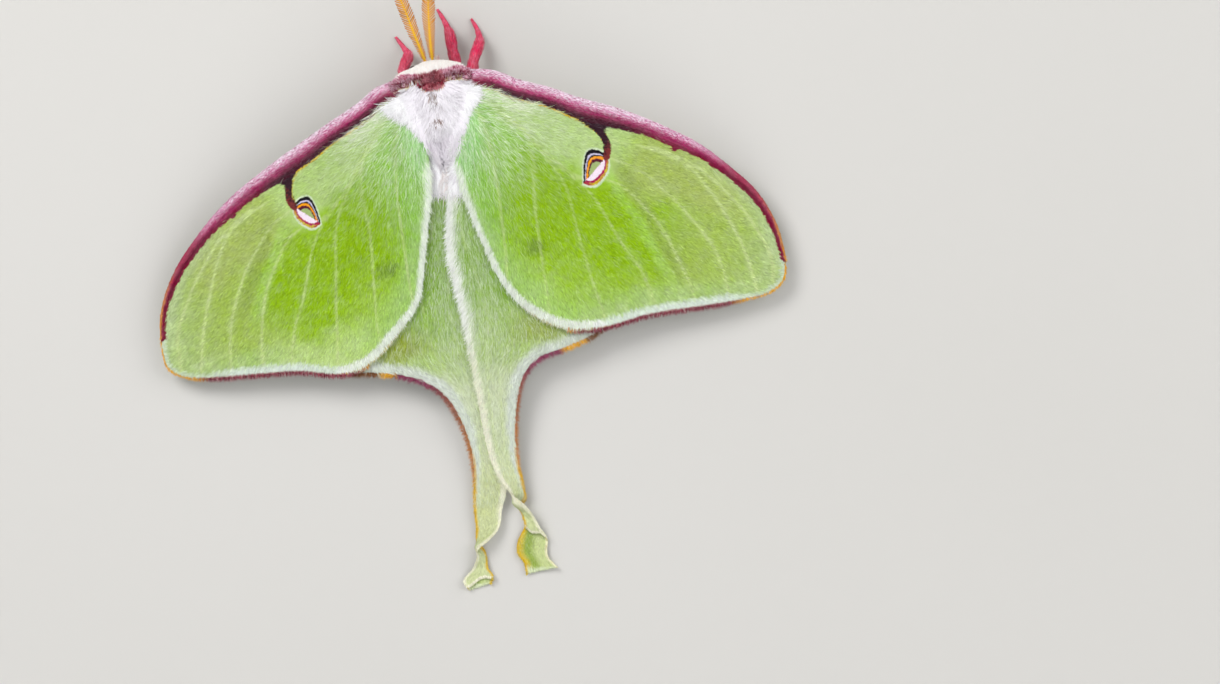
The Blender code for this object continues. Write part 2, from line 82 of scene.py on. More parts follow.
# Hindwing stations: (inner edge, outer edge) and, in the tail, the heights of
# both edges and how deep it is cupped
HINDWING = {
    "left": (((1.5, 9.0), (2.6, 4.2)), ((-0.8, 13.3), (8.4, 8.5)),
             ((-1.1, 17.4), (14.0, 15.5)), ((-1.2, 21.8), (18.4, 23.6)),
             ((-1.0, 27.3), (20.7, 31.6)), ((-1.1, 30.9), (18.1, 35.6)),
             ((-1.0, 34.1), (14.4, 36.4)), ((-1.0, 37.6), (10.6, 37.3)),
             ((-1.0, 41.1), (7.4, 38.7)), ((-1.0, 44.5), (4.9, 40.9)),
             ((-1.0, 47.2), (3.4, 44.0)), ((-1.1, 49.8), (2.5, 47.7)),
             ((-1.3, 52.6), (2.4, 51.7)), ((-1.6, 55.0), (2.8, 54.5)),
             ((-0.6, 57.8), (3.2, 57.3), 1.35, 1.35, 0.0),
             ((0.1, 60.2), (3.3, 59.8), 1.40, 1.15, 0.0),
             ((1.7, 61.7), (3.5, 61.6), 1.95, 0.85, 0.0),
             ((3.5, 62.9), (2.6, 62.9), 2.15, 0.62, 0.0),
             ((3.8, 64.0), (2.4, 64.3), 1.75, 0.60, 0.0),
             ((4.6, 65.4), (2.4, 65.7), 0.95, 0.60, -0.25),
             ((6.1, 66.9), (1.9, 66.6), 0.60, 0.55, -0.40),
             ((5.6, 68.3), (2.3, 67.7), 0.60, 0.70, -0.38)),
    "right": (((-1.5, 9.0), (-2.6, 4.2)), ((0.2, 13.4), (-8.2, 8.8)),
              ((1.1, 17.4), (-13.2, 17.0)), ((1.6, 21.4), (-17.8, 25.5)),
              ((1.3, 26.4), (-20.9, 31.6)), ((0.9, 30.2), (-17.3, 35.0)),
              ((0.7, 34.2), (-12.6, 36.6)), ((0.5, 36.9), (-8.6, 37.6)),
              ((0.5, 39.4), (-6.2, 39.8)), ((0.4, 43.6), (-4.7, 44.0)),
              ((0.2, 48.1), (-3.9, 48.4)), ((-0.1, 50.7), (-3.8, 52.1)),
              ((-0.9, 53.3), (-4.1, 54.9), 2.85, 2.10, 0.0),
              ((-2.3, 55.8), (-4.1, 56.8), 2.75, 1.30, 0.0),
              ((-3.8, 57.4), (-3.0, 57.7), 2.60, 0.75, 0.0),
              ((-4.8, 59.1), (-3.3, 59.0), 2.00, 0.65, 0.0),
              ((-5.5, 60.9), (-3.4, 60.5), 1.40, 0.55, 0.0),
              ((-6.3, 62.6), (-2.2, 62.4), 0.85, 0.60, -0.40),
              ((-6.0, 64.4), (-1.9, 64.0), 0.65, 0.60, -0.45),
              ((-6.1, 65.3), (-2.6, 65.4), 0.75, 0.60, -0.42),
              ((-7.2, 66.8), (-2.7, 67.1), 0.95, 0.55, -0.35)),
}
# Veins of the forewing as (station, share of the chord)
FORE_VEINS = (
    ((0.8, .33), (1.75, .52), (2.9, .74), (4.0, .92), (4.3, 1.0)),
    ((0.7, .25), (2.0, .27), (3.1, .34), (4.0, .57), (4.9, .76), (5.45, .90), (5.7, 1.0)),
    ((3.2, .33), (3.65, .345), (4.72, .42), (5.73, .62), (6.81, .88), (7.2, 1.0)),
    ((4.3, .35), (5.5, .40), (6.55, .54), (7.46, .71), (8.05, .94), (8.15, 1.0)),
    ((5.2, .34), (6.2, .32), (7.5, .46), (8.4, .72), (8.8, .91), (8.9, 1.0)),
    ((5.55, .22), (6.8, .24), (8.2, .40), (9.2, .64), (9.65, .92), (9.7, 1.0)),
    ((5.6, .14), (6.9, .12), (8.0, .15), (9.1, .31), (9.9, .55), (10.5, .91), (10.55, 1.0)),
    ((6.61, .10), (8.5, .14), (10.0, .28), (11.0, .54), (11.3, 1.0)),
    ((1.04, .16), (2.57, .11), (3.78, .09), (4.89, .12), (5.6, .14)),
    ((1.27, .24), (2.8, .30), (4.2, .34), (5.12, .35)),
)
HIND_VEINS = (
    ((0.6, .10), (2.0, .12), (4.0, .16), (7.0, .24), (11.0, .34), (14.0, .42)),
    ((0.6, .25), (2.0, .27), (4.0, .33), (6.5, .44), (9.0, .58), (14.0, .66)),
    ((0.6, .40), (2.0, .43), (4.0, .52), (5.6, .66), (7.0, .86), (7.6, 1.0)),
    ((0.6, .55), (2.0, .60), (3.6, .70), (4.8, .86), (5.5, 1.0)),
    ((0.6, .70), (2.0, .75), (3.2, .84), (3.9, 1.0)),
)
# Eyespot of each forewing: the stalk's corner, the far corner, a point on the
# dark arc's crown, and the stalk from the costa to the corner
SPOT = {
    "left": ((21.55, 12.35), (18.45, 14.95), (19.8, 11.6),
             ((22.1, 6.2), (21.85, 7.5), (21.8, 8.6), (22.05, 10.0), (22.05, 11.4), (21.55, 12.45))),
    "right": ((-21.75, 11.5), (-18.4, 14.5), (-20.2, 10.8),
              ((-19.8, 5.3), (-20.55, 6.8), (-21.35, 7.9), (-21.95, 9.2), (-22.15, 10.4), (-21.75, 11.6))),
}
NICK = {"left": (30.2, 12.15), "right": (-31.2, 11.55)}
SMUDGE = {"left": (10.1, 22.7), "right": (-10.4, 22.4)}
# Where each tail is rolled as it twists: (y, reach, sideways bow); and the
# fold of its opened end, x then y
ROLL = {"left": (62.35, 0.85, 0.85), "right": (57.1, 0.95, 1.0)}
FOLD = {"left": ((2.2, 3.0, 3.8, 5.2, 6.2), (67.1, 66.8, 66.9, 67.7, 68.2)),
        "right": ((-6.5, -6.3, -5.5, -4.3, -3.5, -2.6), (63.2, 62.7, 61.65, 61.5, 60.6, 60.1))}
HIND_SPOT = {"left": ((11.2, 19.2), (8.7, 21.2), (9.3, 18.9)),
             "right": ((-11.2, 19.2), (-8.7, 21.2), (-9.3, 18.9))}

# Skin sections: (y, centre x, centre z, half width, half height); the coat
# fills the rest of the solid
SKIN = ((-4.95, 0.40, 6.42, 0.45, 0.40), (-4.75, 0.40, 6.45, 1.25, 1.05),
        (-4.25, 0.35, 6.50, 2.05, 1.70), (-3.70, 0.25, 6.60, 2.60, 2.15),
        (-3.15, 0.15, 6.70, 2.95, 2.50), (-2.55, 0.10, 6.75, 3.25, 2.80),
        (-1.90, 0.0, 6.80, 4.20, 3.50), (-0.80, 0.0, 6.80, 4.75, 3.85),
        (1.50, 0.0, 6.80, 4.90, 3.90), (4.00, 0.0, 6.60, 4.55, 3.80),
        (6.20, 0.0, 6.10, 3.90, 3.35), (8.00, 0.0, 5.50, 3.30, 2.95),
        (9.30, 0.0, 5.15, 3.10, 2.70), (11.5, 0.0, 4.75, 3.55, 2.85),
        (14.5, 0.0, 4.40, 3.85, 2.90), (17.5, 0.0, 4.15, 3.80, 2.80),
        (20.2, 0.0, 3.90, 3.30, 2.45), (22.5, 0.0, 3.65, 2.45, 1.85),
        (24.1, 0.0, 3.45, 1.30, 1.00), (24.8, 0.0, 3.40, 0.45, 0.38))

# The ruff of fur behind the head, from the moth's left to its right:
# (x, y, z, half depth, half height)
RUFF = ((6.20, -1.75, 9.85, 0.35, 0.30), (5.45, -1.92, 9.92, 0.95, 0.70),
        (4.60, -2.18, 9.90, 1.25, 1.00), (3.00, -2.45, 9.55, 1.48, 1.30),
        (1.50, -2.78, 9.15, 1.78, 1.50), (0.00, -2.90, 8.98, 1.80, 1.58),
        (-1.50, -2.82, 9.10, 1.70, 1.50), (-3.00, -2.58, 9.52, 1.46, 1.28),
        (-3.85, -2.42, 9.80, 1.22, 1.00), (-4.45, -2.20, 9.84, 0.95, 0.72),
        (-5.00, -1.95, 9.78, 0.35, 0.30))

ANTENNAE = {
    "left": ((1.00, -4.75, 7.75, 0.30), (1.35, -6.40, 8.75, 0.55),
             (1.95, -8.80, 9.30, 0.85), (2.75, -12.2, 9.00, 0.90),
             (3.45, -14.7, 8.30, 0.50), (3.65, -15.4, 8.05, 0.28)),
    "right": ((0.00, -4.75, 7.75, 0.30), (-0.05, -6.40, 8.75, 0.55),
              (-0.20, -8.80, 9.30, 0.85), (-0.50, -12.2, 9.00, 0.90),
              (-0.80, -14.7, 8.30, 0.50), (-0.90, -15.4, 8.05, 0.28)),
}
LEGS = {
    "foreleg_left": ((2.4, -1.4, 4.2, 0.70), (3.7, -2.9, 4.6, 0.75),
                     (4.3, -4.2, 4.4, 0.68), (3.5, -6.5, 2.3, 0.62),
                     (4.0, -7.8, 0.75, 0.40), (4.9, -9.4, 0.26, 0.28)),
    "foreleg_right": ((-1.8, -1.6, 3.8, 0.70), (-2.9, -4.0, 3.5, 0.75),
                      (-2.8, -5.9, 3.4, 0.70), (-2.6, -8.8, 2.1, 0.62),
                      (-2.1, -10.7, 0.75, 0.40), (-1.4, -12.4, 0.26, 0.28)),
    "midleg_left": ((3.2, 1.0, 4.0, 0.70), (5.9, 0.9, 5.0, 0.78),
                    (7.6, 1.3, 4.2, 0.70), (9.2, 2.6, 2.0, 0.60),
                    (10.0, 3.8, 0.7, 0.40), (10.8, 5.2, 0.26, 0.28)),
    "midleg_right": ((-3.2, 0.2, 4.0, 0.70), (-4.9, -2.2, 4.7, 0.75),
                     (-5.4, -4.2, 4.3, 0.70), (-6.6, -7.1, 2.2, 0.60),
                     (-6.5, -8.8, 0.75, 0.40), (-5.9, -10.4, 0.26, 0.28)),
    "hindleg_left": ((3.0, 4.2, 4.0, 0.70), (5.8, 5.6, 4.8, 0.80),
                     (7.2, 7.6, 3.8, 0.72), (8.5, 10.0, 1.9, 0.60),
                     (9.1, 11.6, 0.7, 0.42), (9.7, 13.3, 0.26, 0.28)),
    "hindleg_right": ((-3.0, 4.2, 4.0, 0.70), (-5.8, 5.6, 4.8, 0.80),
                      (-7.2, 7.6, 3.8, 0.72), (-8.5, 10.0, 1.9, 0.60),
                      (-9.1, 11.6, 0.7, 0.42), (-9.7, 13.3, 0.26, 0.28)),
}


# ---------------------------------------------------------------- small maths
def smooth(a, b, v):
    t = np.clip((v - a) / (b - a), 0.0, 1.0)
    return t * t * (3.0 - 2.0 * t)


def unit(v):
    return v / np.maximum(np.linalg.norm(v, axis=-1, keepdims=True), 1e-9)


def tent(x, y):
    r = np.hypot(x, y)
    xs, zs = zip(*TENT)
    return np.mean([np.interp(np.maximum(r + d, 0.0), xs, zs) for d in (-2.0, -1.0, 0.0, 1.0, 2.0)], axis=0)


def fore_height(x, y):
    return tent(x, y) + 0.75 + 0.32 * smooth(9.0, 4.0, np.abs(x))


def hind_height(side, x, y):
    if side == "left":
        return tent(x, y) - 0.40 * smooth(6.0, 2.0, x)
    return tent(x, y) + 0.40 * smooth(-7.0, -2.5, x)


def spline(points, count):
    """Centripetal Catmull-Rom curve through the points, evenly counted per span."""
    pts = [np.array(p, float) for p in points]
    pts = [2 * pts[0] - pts[1]] + pts + [2 * pts[-1] - pts[-2]]
    spans = len(pts) - 3
    out = []
    for i in range(count):
        u = i * spans / (count - 1)
        k = min(int(u), spans - 1)
        p0, p1, p2, p3 = pts[k:k + 4]
        t0 = 0.0
        t1 = t0 + max(np.linalg.norm(p1 - p0), 1e-6) ** 0.5
        t2 = t1 + max(np.linalg.norm(p2 - p1), 1e-6) ** 0.5
        t3 = t2 + max(np.linalg.norm(p3 - p2), 1e-6) ** 0.5
        t = t1 + (u - k) * (t2 - t1)
        a1 = (t1 - t) / (t1 - t0) * p0 + (t - t0) / (t1 - t0) * p1
        a2 = (t2 - t) / (t2 - t1) * p1 + (t - t1) / (t2 - t1) * p2
        a3 = (t3 - t) / (t3 - t2) * p2 + (t - t2) / (t3 - t2) * p3
        b1 = (t2 - t) / (t2 - t0) * a1 + (t - t0) / (t2 - t0) * a2
        b2 = (t3 - t) / (t3 - t1) * a2 + (t - t1) / (t3 - t1) * a3
        out.append((t2 - t) / (t2 - t1) * b1 + (t - t1) / (t2 - t1) * b2)
    return np.array(out)


def line_distance(points, line):
    """Distance in plan from each point to a line of points."""
    shape = points.shape[:-1]
    p = points.reshape(-1, points.shape[-1])[:, :2]
    line = np.asarray(line, float)[:, :2]
    best = np.full(len(p), 1e9)
    for a, b in zip(line, line[1:]):
        ab = b - a
        t = np.clip((p - a) @ ab / max(ab @ ab, 1e-9), 0.0, 1.0)
        best = np.minimum(best, np.hypot(*(p - a - t[:, None] * ab).T))
    return best.reshape(shape)


def lin(r, g, b):
    """A colour given as 0-255 in sRGB, as linear light."""
    c = np.array([r, g, b], float) / 255.0
    return tuple(np.where(c <= 0.04045, c / 12.92, ((c + 0.055) / 1.055) ** 2.4))


# ------------------------------------------------ markings, written only once
# The markings are functions of where a point lies on the wing or body. They
# run on arrays, for the scales' colours, and build shader nodes, for the skin.
class Arrays:
    """Runs a marking on numpy arrays."""

    def __init__(self, points):
        self.p = points

    def step(self, a, b, x):
        return smooth(a, b, x)

    def mix(self, a, b, f):
        a, b, f = np.asarray(a, float), np.asarray(b, float), np.asarray(f, float)
        f = np.clip(f, 0, 1)[..., None]
        return a * (1 - f) + b * f

    low = staticmethod(np.minimum)
    high = staticmethod(np.maximum)
    root = staticmethod(lambda x: np.sqrt(np.maximum(x, 0.0)))
    size = staticmethod(np.abs)
    sine = staticmethod(np.sin)

    def noise(self, size, seed=0.0):
        """Soft patches about size mm across, near 0.5."""
        q = self.p / size + seed * 7.31
        out, amp, total = 0.0, 1.0, 0.0
        for octave in range(2):
            c = np.floor(q)
            f = q - c
            f = f * f * (3 - 2 * f)
            value = 0.0
            for dx in (0, 1):
                for dy in (0, 1):
                    for dz in (0, 1):
                        h = np.sin((c[:, 0] + dx) * 127.1 + (c[:, 1] + dy) * 311.7 + (c[:, 2] + dz) * 74.7 + seed) * 43758.5453
                        w = ((f[:, 0] if dx else 1 - f[:, 0]) * (f[:, 1] if dy else 1 - f[:, 1]) * (f[:, 2] if dz else 1 - f[:, 2]))
                        value = value + (h - np.floor(h)) * w
            out = out + amp * value
            total += amp
            q, amp = q * 2.03 + 5.2, amp * 0.5
        return out / total


class Value:
    """A shader socket that takes part in sums."""

    def __init__(self, net, socket):
        self.net, self.socket = net, socket

    def __add__(self, o): return self.net.math("ADD", self, o)
    def __radd__(self, o): return self.net.math("ADD", o, self)
    def __sub__(self, o): return self.net.math("SUBTRACT", self, o)
    def __rsub__(self, o): return self.net.math("SUBTRACT", o, self)
    def __mul__(self, o): return self.net.math("MULTIPLY", self, o)
    def __rmul__(self, o): return self.net.math("MULTIPLY", o, self)
    def __truediv__(self, o): return self.net.math("DIVIDE", self, o)
    def __rtruediv__(self, o): return self.net.math("DIVIDE", o, self)
    def __neg__(self): return self.net.math("MULTIPLY", self, -1.0)


class Nodes:
    """Builds the same marking as shader nodes."""

    def __init__(self, tree):
        self.tree = tree
        self.coords = None

    def put(self, socket, value):
        if isinstance(value, Value):
            self.tree.links.new(value.socket, socket)
        elif np.ndim(value):
            socket.default_value = (*[float(c) for c in value], 1.0)
        else:
            socket.default_value = float(value)

    def math(self, operation, *values):
        node = self.tree.nodes.new("ShaderNodeMath")
        node.operation = operation
        for socket, value in zip(node.inputs, values):
            self.put(socket, value)
        return Value(self, node.outputs[0])

    def step(self, a, b, x):
        node = self.tree.nodes.new("ShaderNodeMapRange")
        node.interpolation_type = "SMOOTHSTEP"
        for socket, value in zip(node.inputs, (x, a, b, 0.0, 1.0)):
            self.put(socket, value)
        return Value(self, node.outputs[0])

    def mix(self, a, b, f):
        node = self.tree.nodes.new("ShaderNodeMix")
        node.data_type = "RGBA"
        node.clamp_factor = True
        self.put(node.inputs[0], f)
        self.put(node.inputs[6], a)
        self.put(node.inputs[7], b)
        return Value(self, node.outputs[2])

    def low(self, a, b): return self.math("MINIMUM", a, b)
    def high(self, a, b): return self.math("MAXIMUM", a, b)
    def root(self, a): return self.math("SQRT", a)
    def size(self, a): return self.math("ABSOLUTE", a)
    def sine(self, a): return self.math("SINE", a)

    def object_coords(self):
        if self.coords is None:
            self.coords = self.tree.nodes.new("ShaderNodeTexCoord").outputs["Object"]
        return self.coords

    def noise(self, size, seed=0.0, detail=1.0):
        node = self.tree.nodes.new("ShaderNodeTexNoise")
        node.noise_dimensions = "4D"
        self.tree.links.new(self.object_coords(), node.inputs["Vector"])
        node.inputs["W"].default_value = seed
        node.inputs["Scale"].default_value = 0.5 / (size * MM)
        node.inputs["Detail"].default_value = detail
        return Value(self, node.outputs["Fac"])

    def vector(self, name):
        node = self.tree.nodes.new("ShaderNodeAttribute")
        node.attribute_name = name
        parts = self.tree.nodes.new("ShaderNodeSeparateXYZ")
        self.tree.links.new(node.outputs["Vector"], parts.inputs[0])
        return [Value(self, s) for s in parts.outputs]

    def place(self):
        """Where the point is on the moth, in its own millimetres."""
        parts = self.tree.nodes.new("ShaderNodeSeparateXYZ")
        self.tree.links.new(self.object_coords(), parts.inputs[0])
        return [Value(self, s) * (1 / MM) - float(o) for s, o in zip(parts.outputs, SHIFT)]


# palette
LIME = lin(145, 188, 0)
GREEN_BASE = lin(146, 200, 76)
GREEN_MID = lin(163, 200, 66)
GREEN_OUTER = lin(166, 192, 88)
GREEN_APEX = lin(177, 200, 130)
GREEN_COSTA = lin(186, 212, 134)
GREEN_OLIVE = lin(172, 188, 104)
GREEN_REAR = lin(168, 206, 118)
MARGIN = lin(222, 232, 224)
WHITE_EDGE = lin(238, 241, 236)
VEIN = lin(204, 220, 152)
BLACK = lin(14, 9, 20)
LAVENDER = lin(206, 200, 226)
ORANGE = lin(246, 160, 16)
MAROON = lin(92, 18, 44)
CRIMSON = lin(172, 22, 84)
PINKWHITE = lin(246, 230, 242)
YELLOW = lin(206, 188, 62)
WINDOW = lin(166, 186, 118)
HALO = lin(214, 228, 196)
STALK = lin(50, 22, 34)
STALK_RED = lin(128, 48, 46)
COSTA_DARK = lin(62, 14, 32)
COSTA_PLUM = lin(118, 46, 70)
COSTA_ROSE = lin(178, 62, 110)
COSTA_PINK = lin(222, 152, 188)
COSTA_LILAC = lin(246, 220, 236)
COSTA_TIP = lin(122, 30, 56)
COSTA_TIP_ROSE = lin(168, 66, 92)
COSTA_GOLD = lin(214, 190, 60)
FRINGE_MAROON = lin(122, 46, 62)
FRINGE_ROSE = lin(186, 116, 124)
FRINGE_GOLD = lin(230, 174, 62)
HIND_DEEP = lin(144, 186, 66)
HIND_MID = lin(180, 206, 124)
HIND_LOW = lin(212, 222, 182)
HIND_SHADOW = lin(158, 172, 74)
HIND_BAND = lin(218, 224, 218)
TAIL = lin(220, 227, 182)
TAIL_END = lin(208, 216, 160)
CREAM_EDGE = lin(248, 244, 224)
SPOON = lin(168, 188, 92)
SPOON_GOLD = lin(196, 176, 66)
AMBER = lin(200, 150, 84)


def lens(k, p, v, half, crown, bowl):
    """How far inside a leaning lens a point is: half its length, crown above, bowl below."""
    q = k.size(p + 0.44 * k.high(v, 0.0)) * (1.0 / half)
    r = k.size(p + 0.30 * k.low(v, 0.0)) * (1.0 / half)
    upper = (crown * (1.0 - q * (k.root(q) * 0.5 + q * 0.5)) - v) * 0.85
    lower = bowl * (1.0 - r * r * r) + v
    return k.low(upper, lower)


def eyespot(k, colour, p, v, edge=0.03):
    """The ringed eyespot, painted from the halo inwards."""
    p = p + (k.noise(0.17, 3.0) - 0.5) * 0.24
    v = v + (k.noise(0.17, 5.0) - 0.5) * 0.24
    above = k.step(-edge, edge, v)
    near = k.step(0.9, 2.2, p * -1.0)             # towards the stalk's corner
    colour = k.mix(colour, HALO, k.step(0.0, 0.26, lens(k, p, v, 2.70, 2.68, 1.86)) * 0.95)
    outer = k.step(-edge, edge, lens(k, p, v, 2.38, 2.28, 1.45))
    low_rim = k.mix(YELLOW, lin(186, 96, 60), near)
    low_rim = k.mix(low_rim, lin(186, 60, 44), k.step(0.56, 0.70, k.noise(0.22, 9.0)) * 0.9)
    low_rim = k.mix(low_rim, lin(176, 34, 56), k.step(1.6, 2.1, p))
    colour = k.mix(colour, k.mix(low_rim, BLACK, above), outer)
    lav = k.step(-edge, edge, lens(k, p, v, 2.06, 1.82, 1.12))
    colour = k.mix(colour, k.mix(CRIMSON, LAVENDER, above), lav)
    thin = k.step(-edge, edge, lens(k, p, v, 1.96, 1.58, 1.1)) * above
    colour = k.mix(colour, BLACK, thin)
    inner = k.step(-edge, edge, lens(k, p, v, 1.88, 1.38, 0.84))
    colour = k.mix(colour, k.mix(PINKWHITE, ORANGE, above), inner)
    maroon = k.step(-edge, edge, lens(k, p, v, 1.54, 1.08, 0.9)) * above
    colour = k.mix(colour, MAROON, maroon)
    window = k.step(-edge, edge, lens(k, p - 0.12, v, 1.18, 0.80, 0.9)) * above
    colour = k.mix(colour, WINDOW, window)
    # the black arc runs on beside the stalk
    away = k.high(p * -1.0 - 2.35, 0.0)
    hook = k.step(0.20, 0.10, k.size(v - 0.46 - away * 1.1)) * k.step(-3.1, -2.9, p) * k.step(-1.85, -2.05, p)
    return k.mix(colour, BLACK, hook)


def band_width(k, s):
    """Width of the costal band by wing station."""
    return 2.62 - 0.66 * k.step(3.0, 9.0, s) - 0.60 * k.step(7.0, 9.0, s) - 0.72 * k.step(8.6, 12.5, s) + 0.38 * k.step(3.2, 4.4, s) * k.step(6.4, 5.2, s)


# creases painted as light and shade: side, start, end, highlight offset, shade offset
CREASES = ((1, (22.8, 15.1), (28.1, 25.8), 0.6, 2.6), (-1, (-22.4, 12.9), (-28.5, 27.6), -0.9, 0.9))


def crease_light_and_shade(k, c, x, y, side, start, end, light, shade_offset):
    """Lime stops along a line from the eyespot to the outer edge; beside it a painted highlight stripe and, tipward, a
    painted shade stripe: the light and shade of a crease in the wing.
    """
    reach = ((end[0] - start[0]) ** 2 + (end[1] - start[1]) ** 2) ** 0.5
    ux, uy = (end[0] - start[0]) / reach, (end[1] - start[1]) / reach
    run = ((x - start[0]) * ux + (y - start[1]) * uy) / reach
    off = ((x - start[0]) * uy - (y - start[1]) * ux) * side + (k.noise(2.4, 31.0) - 0.5) * 0.9
    shown = k.step(-0.20, 0.10, run) * k.step(1.35, 0.90, run) * k.step(0.0, 4.0, x * side)
    c = k.mix(c, LIME, k.step(light - 0.3, light - 0.8, off) * k.step(light - 4.0, light - 1.6, off) * shown * 0.55)
    # painted highlight along the crease
    c = k.mix(c, lin(168, 210, 92), k.step(1.1, 0.3, k.size(off - light)) * shown * 0.55)
    # painted shade on the crease's tipward side
    return k.mix(c, lin(140, 162, 70), k.step(1.4, 0.4, k.size(off - shade_offset)) * shown * 0.50)


def fore_marks(k, f):
    """Colour of a forewing: f holds the distances worked out on its grid."""
    front, outer, inner = f["front"], f["outer"], f["inner"]
    s, t = f["s"], f["t"]
    patch = k.noise(3.2, 1.0)
    fine = k.noise(0.35, 2.0)
    soft = (patch - 0.5) * 0.10
    near_body = k.root(f["x"] * f["x"] + (f["y"] - 4.0) * (f["y"] - 4.0) * 0.35)
    # ground: pale base, lime middle, paler and duller towards the tip
    c = k.mix(GREEN_BASE, GREEN_MID, k.step(2.0, 5.5, s))
    # painted sheen: paler bluish green near the body, for the shine at the wing bases
    c = k.mix(c, lin(148, 208, 124), k.step(6.8, 3.8, near_body) * 0.85)
    c = k.mix(c, GREEN_OUTER, k.step(6.4, 8.6, s))
    lime = k.step(1.4, 4.2, s) * k.step(8.8, 6.8, s) * k.step(0.28, 0.42, t + soft) * k.step(1.0, 0.60, t + soft)
    c = k.mix(c, LIME, lime * 0.95)
    c = k.mix(c, GREEN_REAR, k.step(0.78, 0.95, t + soft) * 0.8)
    c = k.mix(c, GREEN_COSTA, k.step(0.38, 0.27, t + soft) * k.step(0.6, 2.4, s) * k.step(6.7, 5.7, s) * 0.9)
    c = k.mix(c, GREEN_OLIVE, k.step(0.40, 0.28, t + soft) * k.step(5.6, 6.6, s) * k.step(10.4, 9.0, s) * 0.8)
    c = k.mix(c, GREEN_APEX, k.step(9.0, 11.2, s) * 0.9)
    c = k.mix(c, GREEN_APEX, k.step(4.4, 1.6, outer) * 0.5)
    c = k.mix(c, lin(200, 224, 142), k.step(5.2, 6.4, s) * k.step(9.0, 7.6, s) * k.step(0.70, 0.90, t + soft) * k.step(0.0, 4.0, f["x"]) * 0.62)
    c = k.mix(c, lin(196, 224, 134), k.step(4.2, 5.4, s) * k.step(7.4, 6.2, s) * k.step(0.62, 0.86, t + soft) * 0.10)
    c = k.mix(c, GREEN_COSTA, k.step(0.60, 0.85, k.noise(1.6, 21.0)) * 0.22)
    for mark in CREASES:
        c = crease_light_and_shade(k, c, f["x"], f["y"], *mark)
    c = k.mix(c, lin(198, 214, 170), k.step(1.9, 0.2, front - band_width(k, s) + (fine - 0.5) * 0.8) * k.step(7.4, 9.0, s) * 0.45)
    # painted sheen: a paler, whiter streak near the costa of the right wing only
    c = k.mix(c, lin(206, 226, 170), k.step(0.38, 0.27, t + soft) * k.step(1.0, 2.4, s) * k.step(6.0, 5.0, s) * k.step(0.0, -4.0, f["x"]) * 0.30)
    c = k.mix(c, lin(208, 228, 164), k.step(0.50, 0.68, k.noise(1.1, 41.0)) * k.step(4.6, 2.0, outer) * k.step(0.6, 1.6, outer) * 0.40)
    # smudge and veins
    dx, dy = f["sx"], f["sy"]
    c = k.mix(c, lin(100, 128, 50), k.step(1.9, 0.3, k.root(dx * dx * 0.6 + dy * dy * 1.2) + (fine - 0.5) * 1.6) * 0.60)
    c = k.mix(c, lin(196, 218, 140), k.step(1.1, 0.1, f["vein"]) * 0.20 * k.step(5.0, 8.0, s) * k.step(0.3, 1.0, outer))
    c = k.mix(c, VEIN, k.step(0.30, 0.06, f["vein"]) * (0.50 + 0.28 * k.step(5.0, 8.0, s)) * k.step(0.3, 1.0, outer))
    # pale margins
    wobble = (fine - 0.5) * 0.7
    c = k.mix(c, MARGIN, k.step(1.55, 0.8, outer + wobble + 0.5 * k.step(9.4, 10.6, s)) * (0.92 - 0.32 * k.step(9.4, 10.6, s)))
    c = k.mix(c, WHITE_EDGE, k.step(1.0, 0.5, inner + wobble * 0.6 - 0.45 * k.step(4.0, 5.6, s)) * 0.9)
    c = k.mix(c, lin(186, 168, 86), k.step(0.22, 0.1, inner) * k.step(4.6, 5.6, s))
    c = k.mix(c, lin(176, 108, 110), k.step(0.34, 0.10, outer + wobble * 0.3) * k.step(11.6, 10.4, s) * k.step(6.0, 6.6, s) * 0.7)
    # eyespot, then the costal band and the stalk that runs into it
    c = eyespot(k, c, f["p"], f["v"])
    width = band_width(k, s)
    ragged = (k.noise(0.20, 6.0) - 0.5) * 0.46
    band = front - width + ragged
    wide = 0.48 + 0.16 * k.step(1.0, 4.5, f["v"])
    stalk = f["stalk"] - wide + ragged * 0.6
    stalk = k.high(stalk, (-0.5 - f["v"]) * 1.0)
    blend = k.high(1.3 - k.size(band - stalk), 0.0) / 1.3
    dark = k.low(band, stalk) - blend * blend * 0.33
    nx, ny = f["nx"], f["ny"]
    nick = k.root(nx * nx + ny * ny) - 0.50 + ragged * 0.5
    c = k.mix(c, COSTA_GOLD, k.step(0.15, 0.05, dark) * k.step(22.2, 21.6, f["x"]) * k.step(-20.4, -19.8, f["x"]) * k.step(0.3, 1.2, f["v"] + 8.0 * k.step(5.0, 3.0, s)) * 0.85)
    ink = k.mix(STALK_RED, STALK, k.step(-0.2, 1.4, f["v"] + (k.noise(0.16, 16.0) - 0.5) * 3.4))
    c = k.mix(c, ink, k.step(0.06, -0.06, dark))
    c = k.mix(c, COSTA_TIP, k.step(0.06, -0.06, nick))
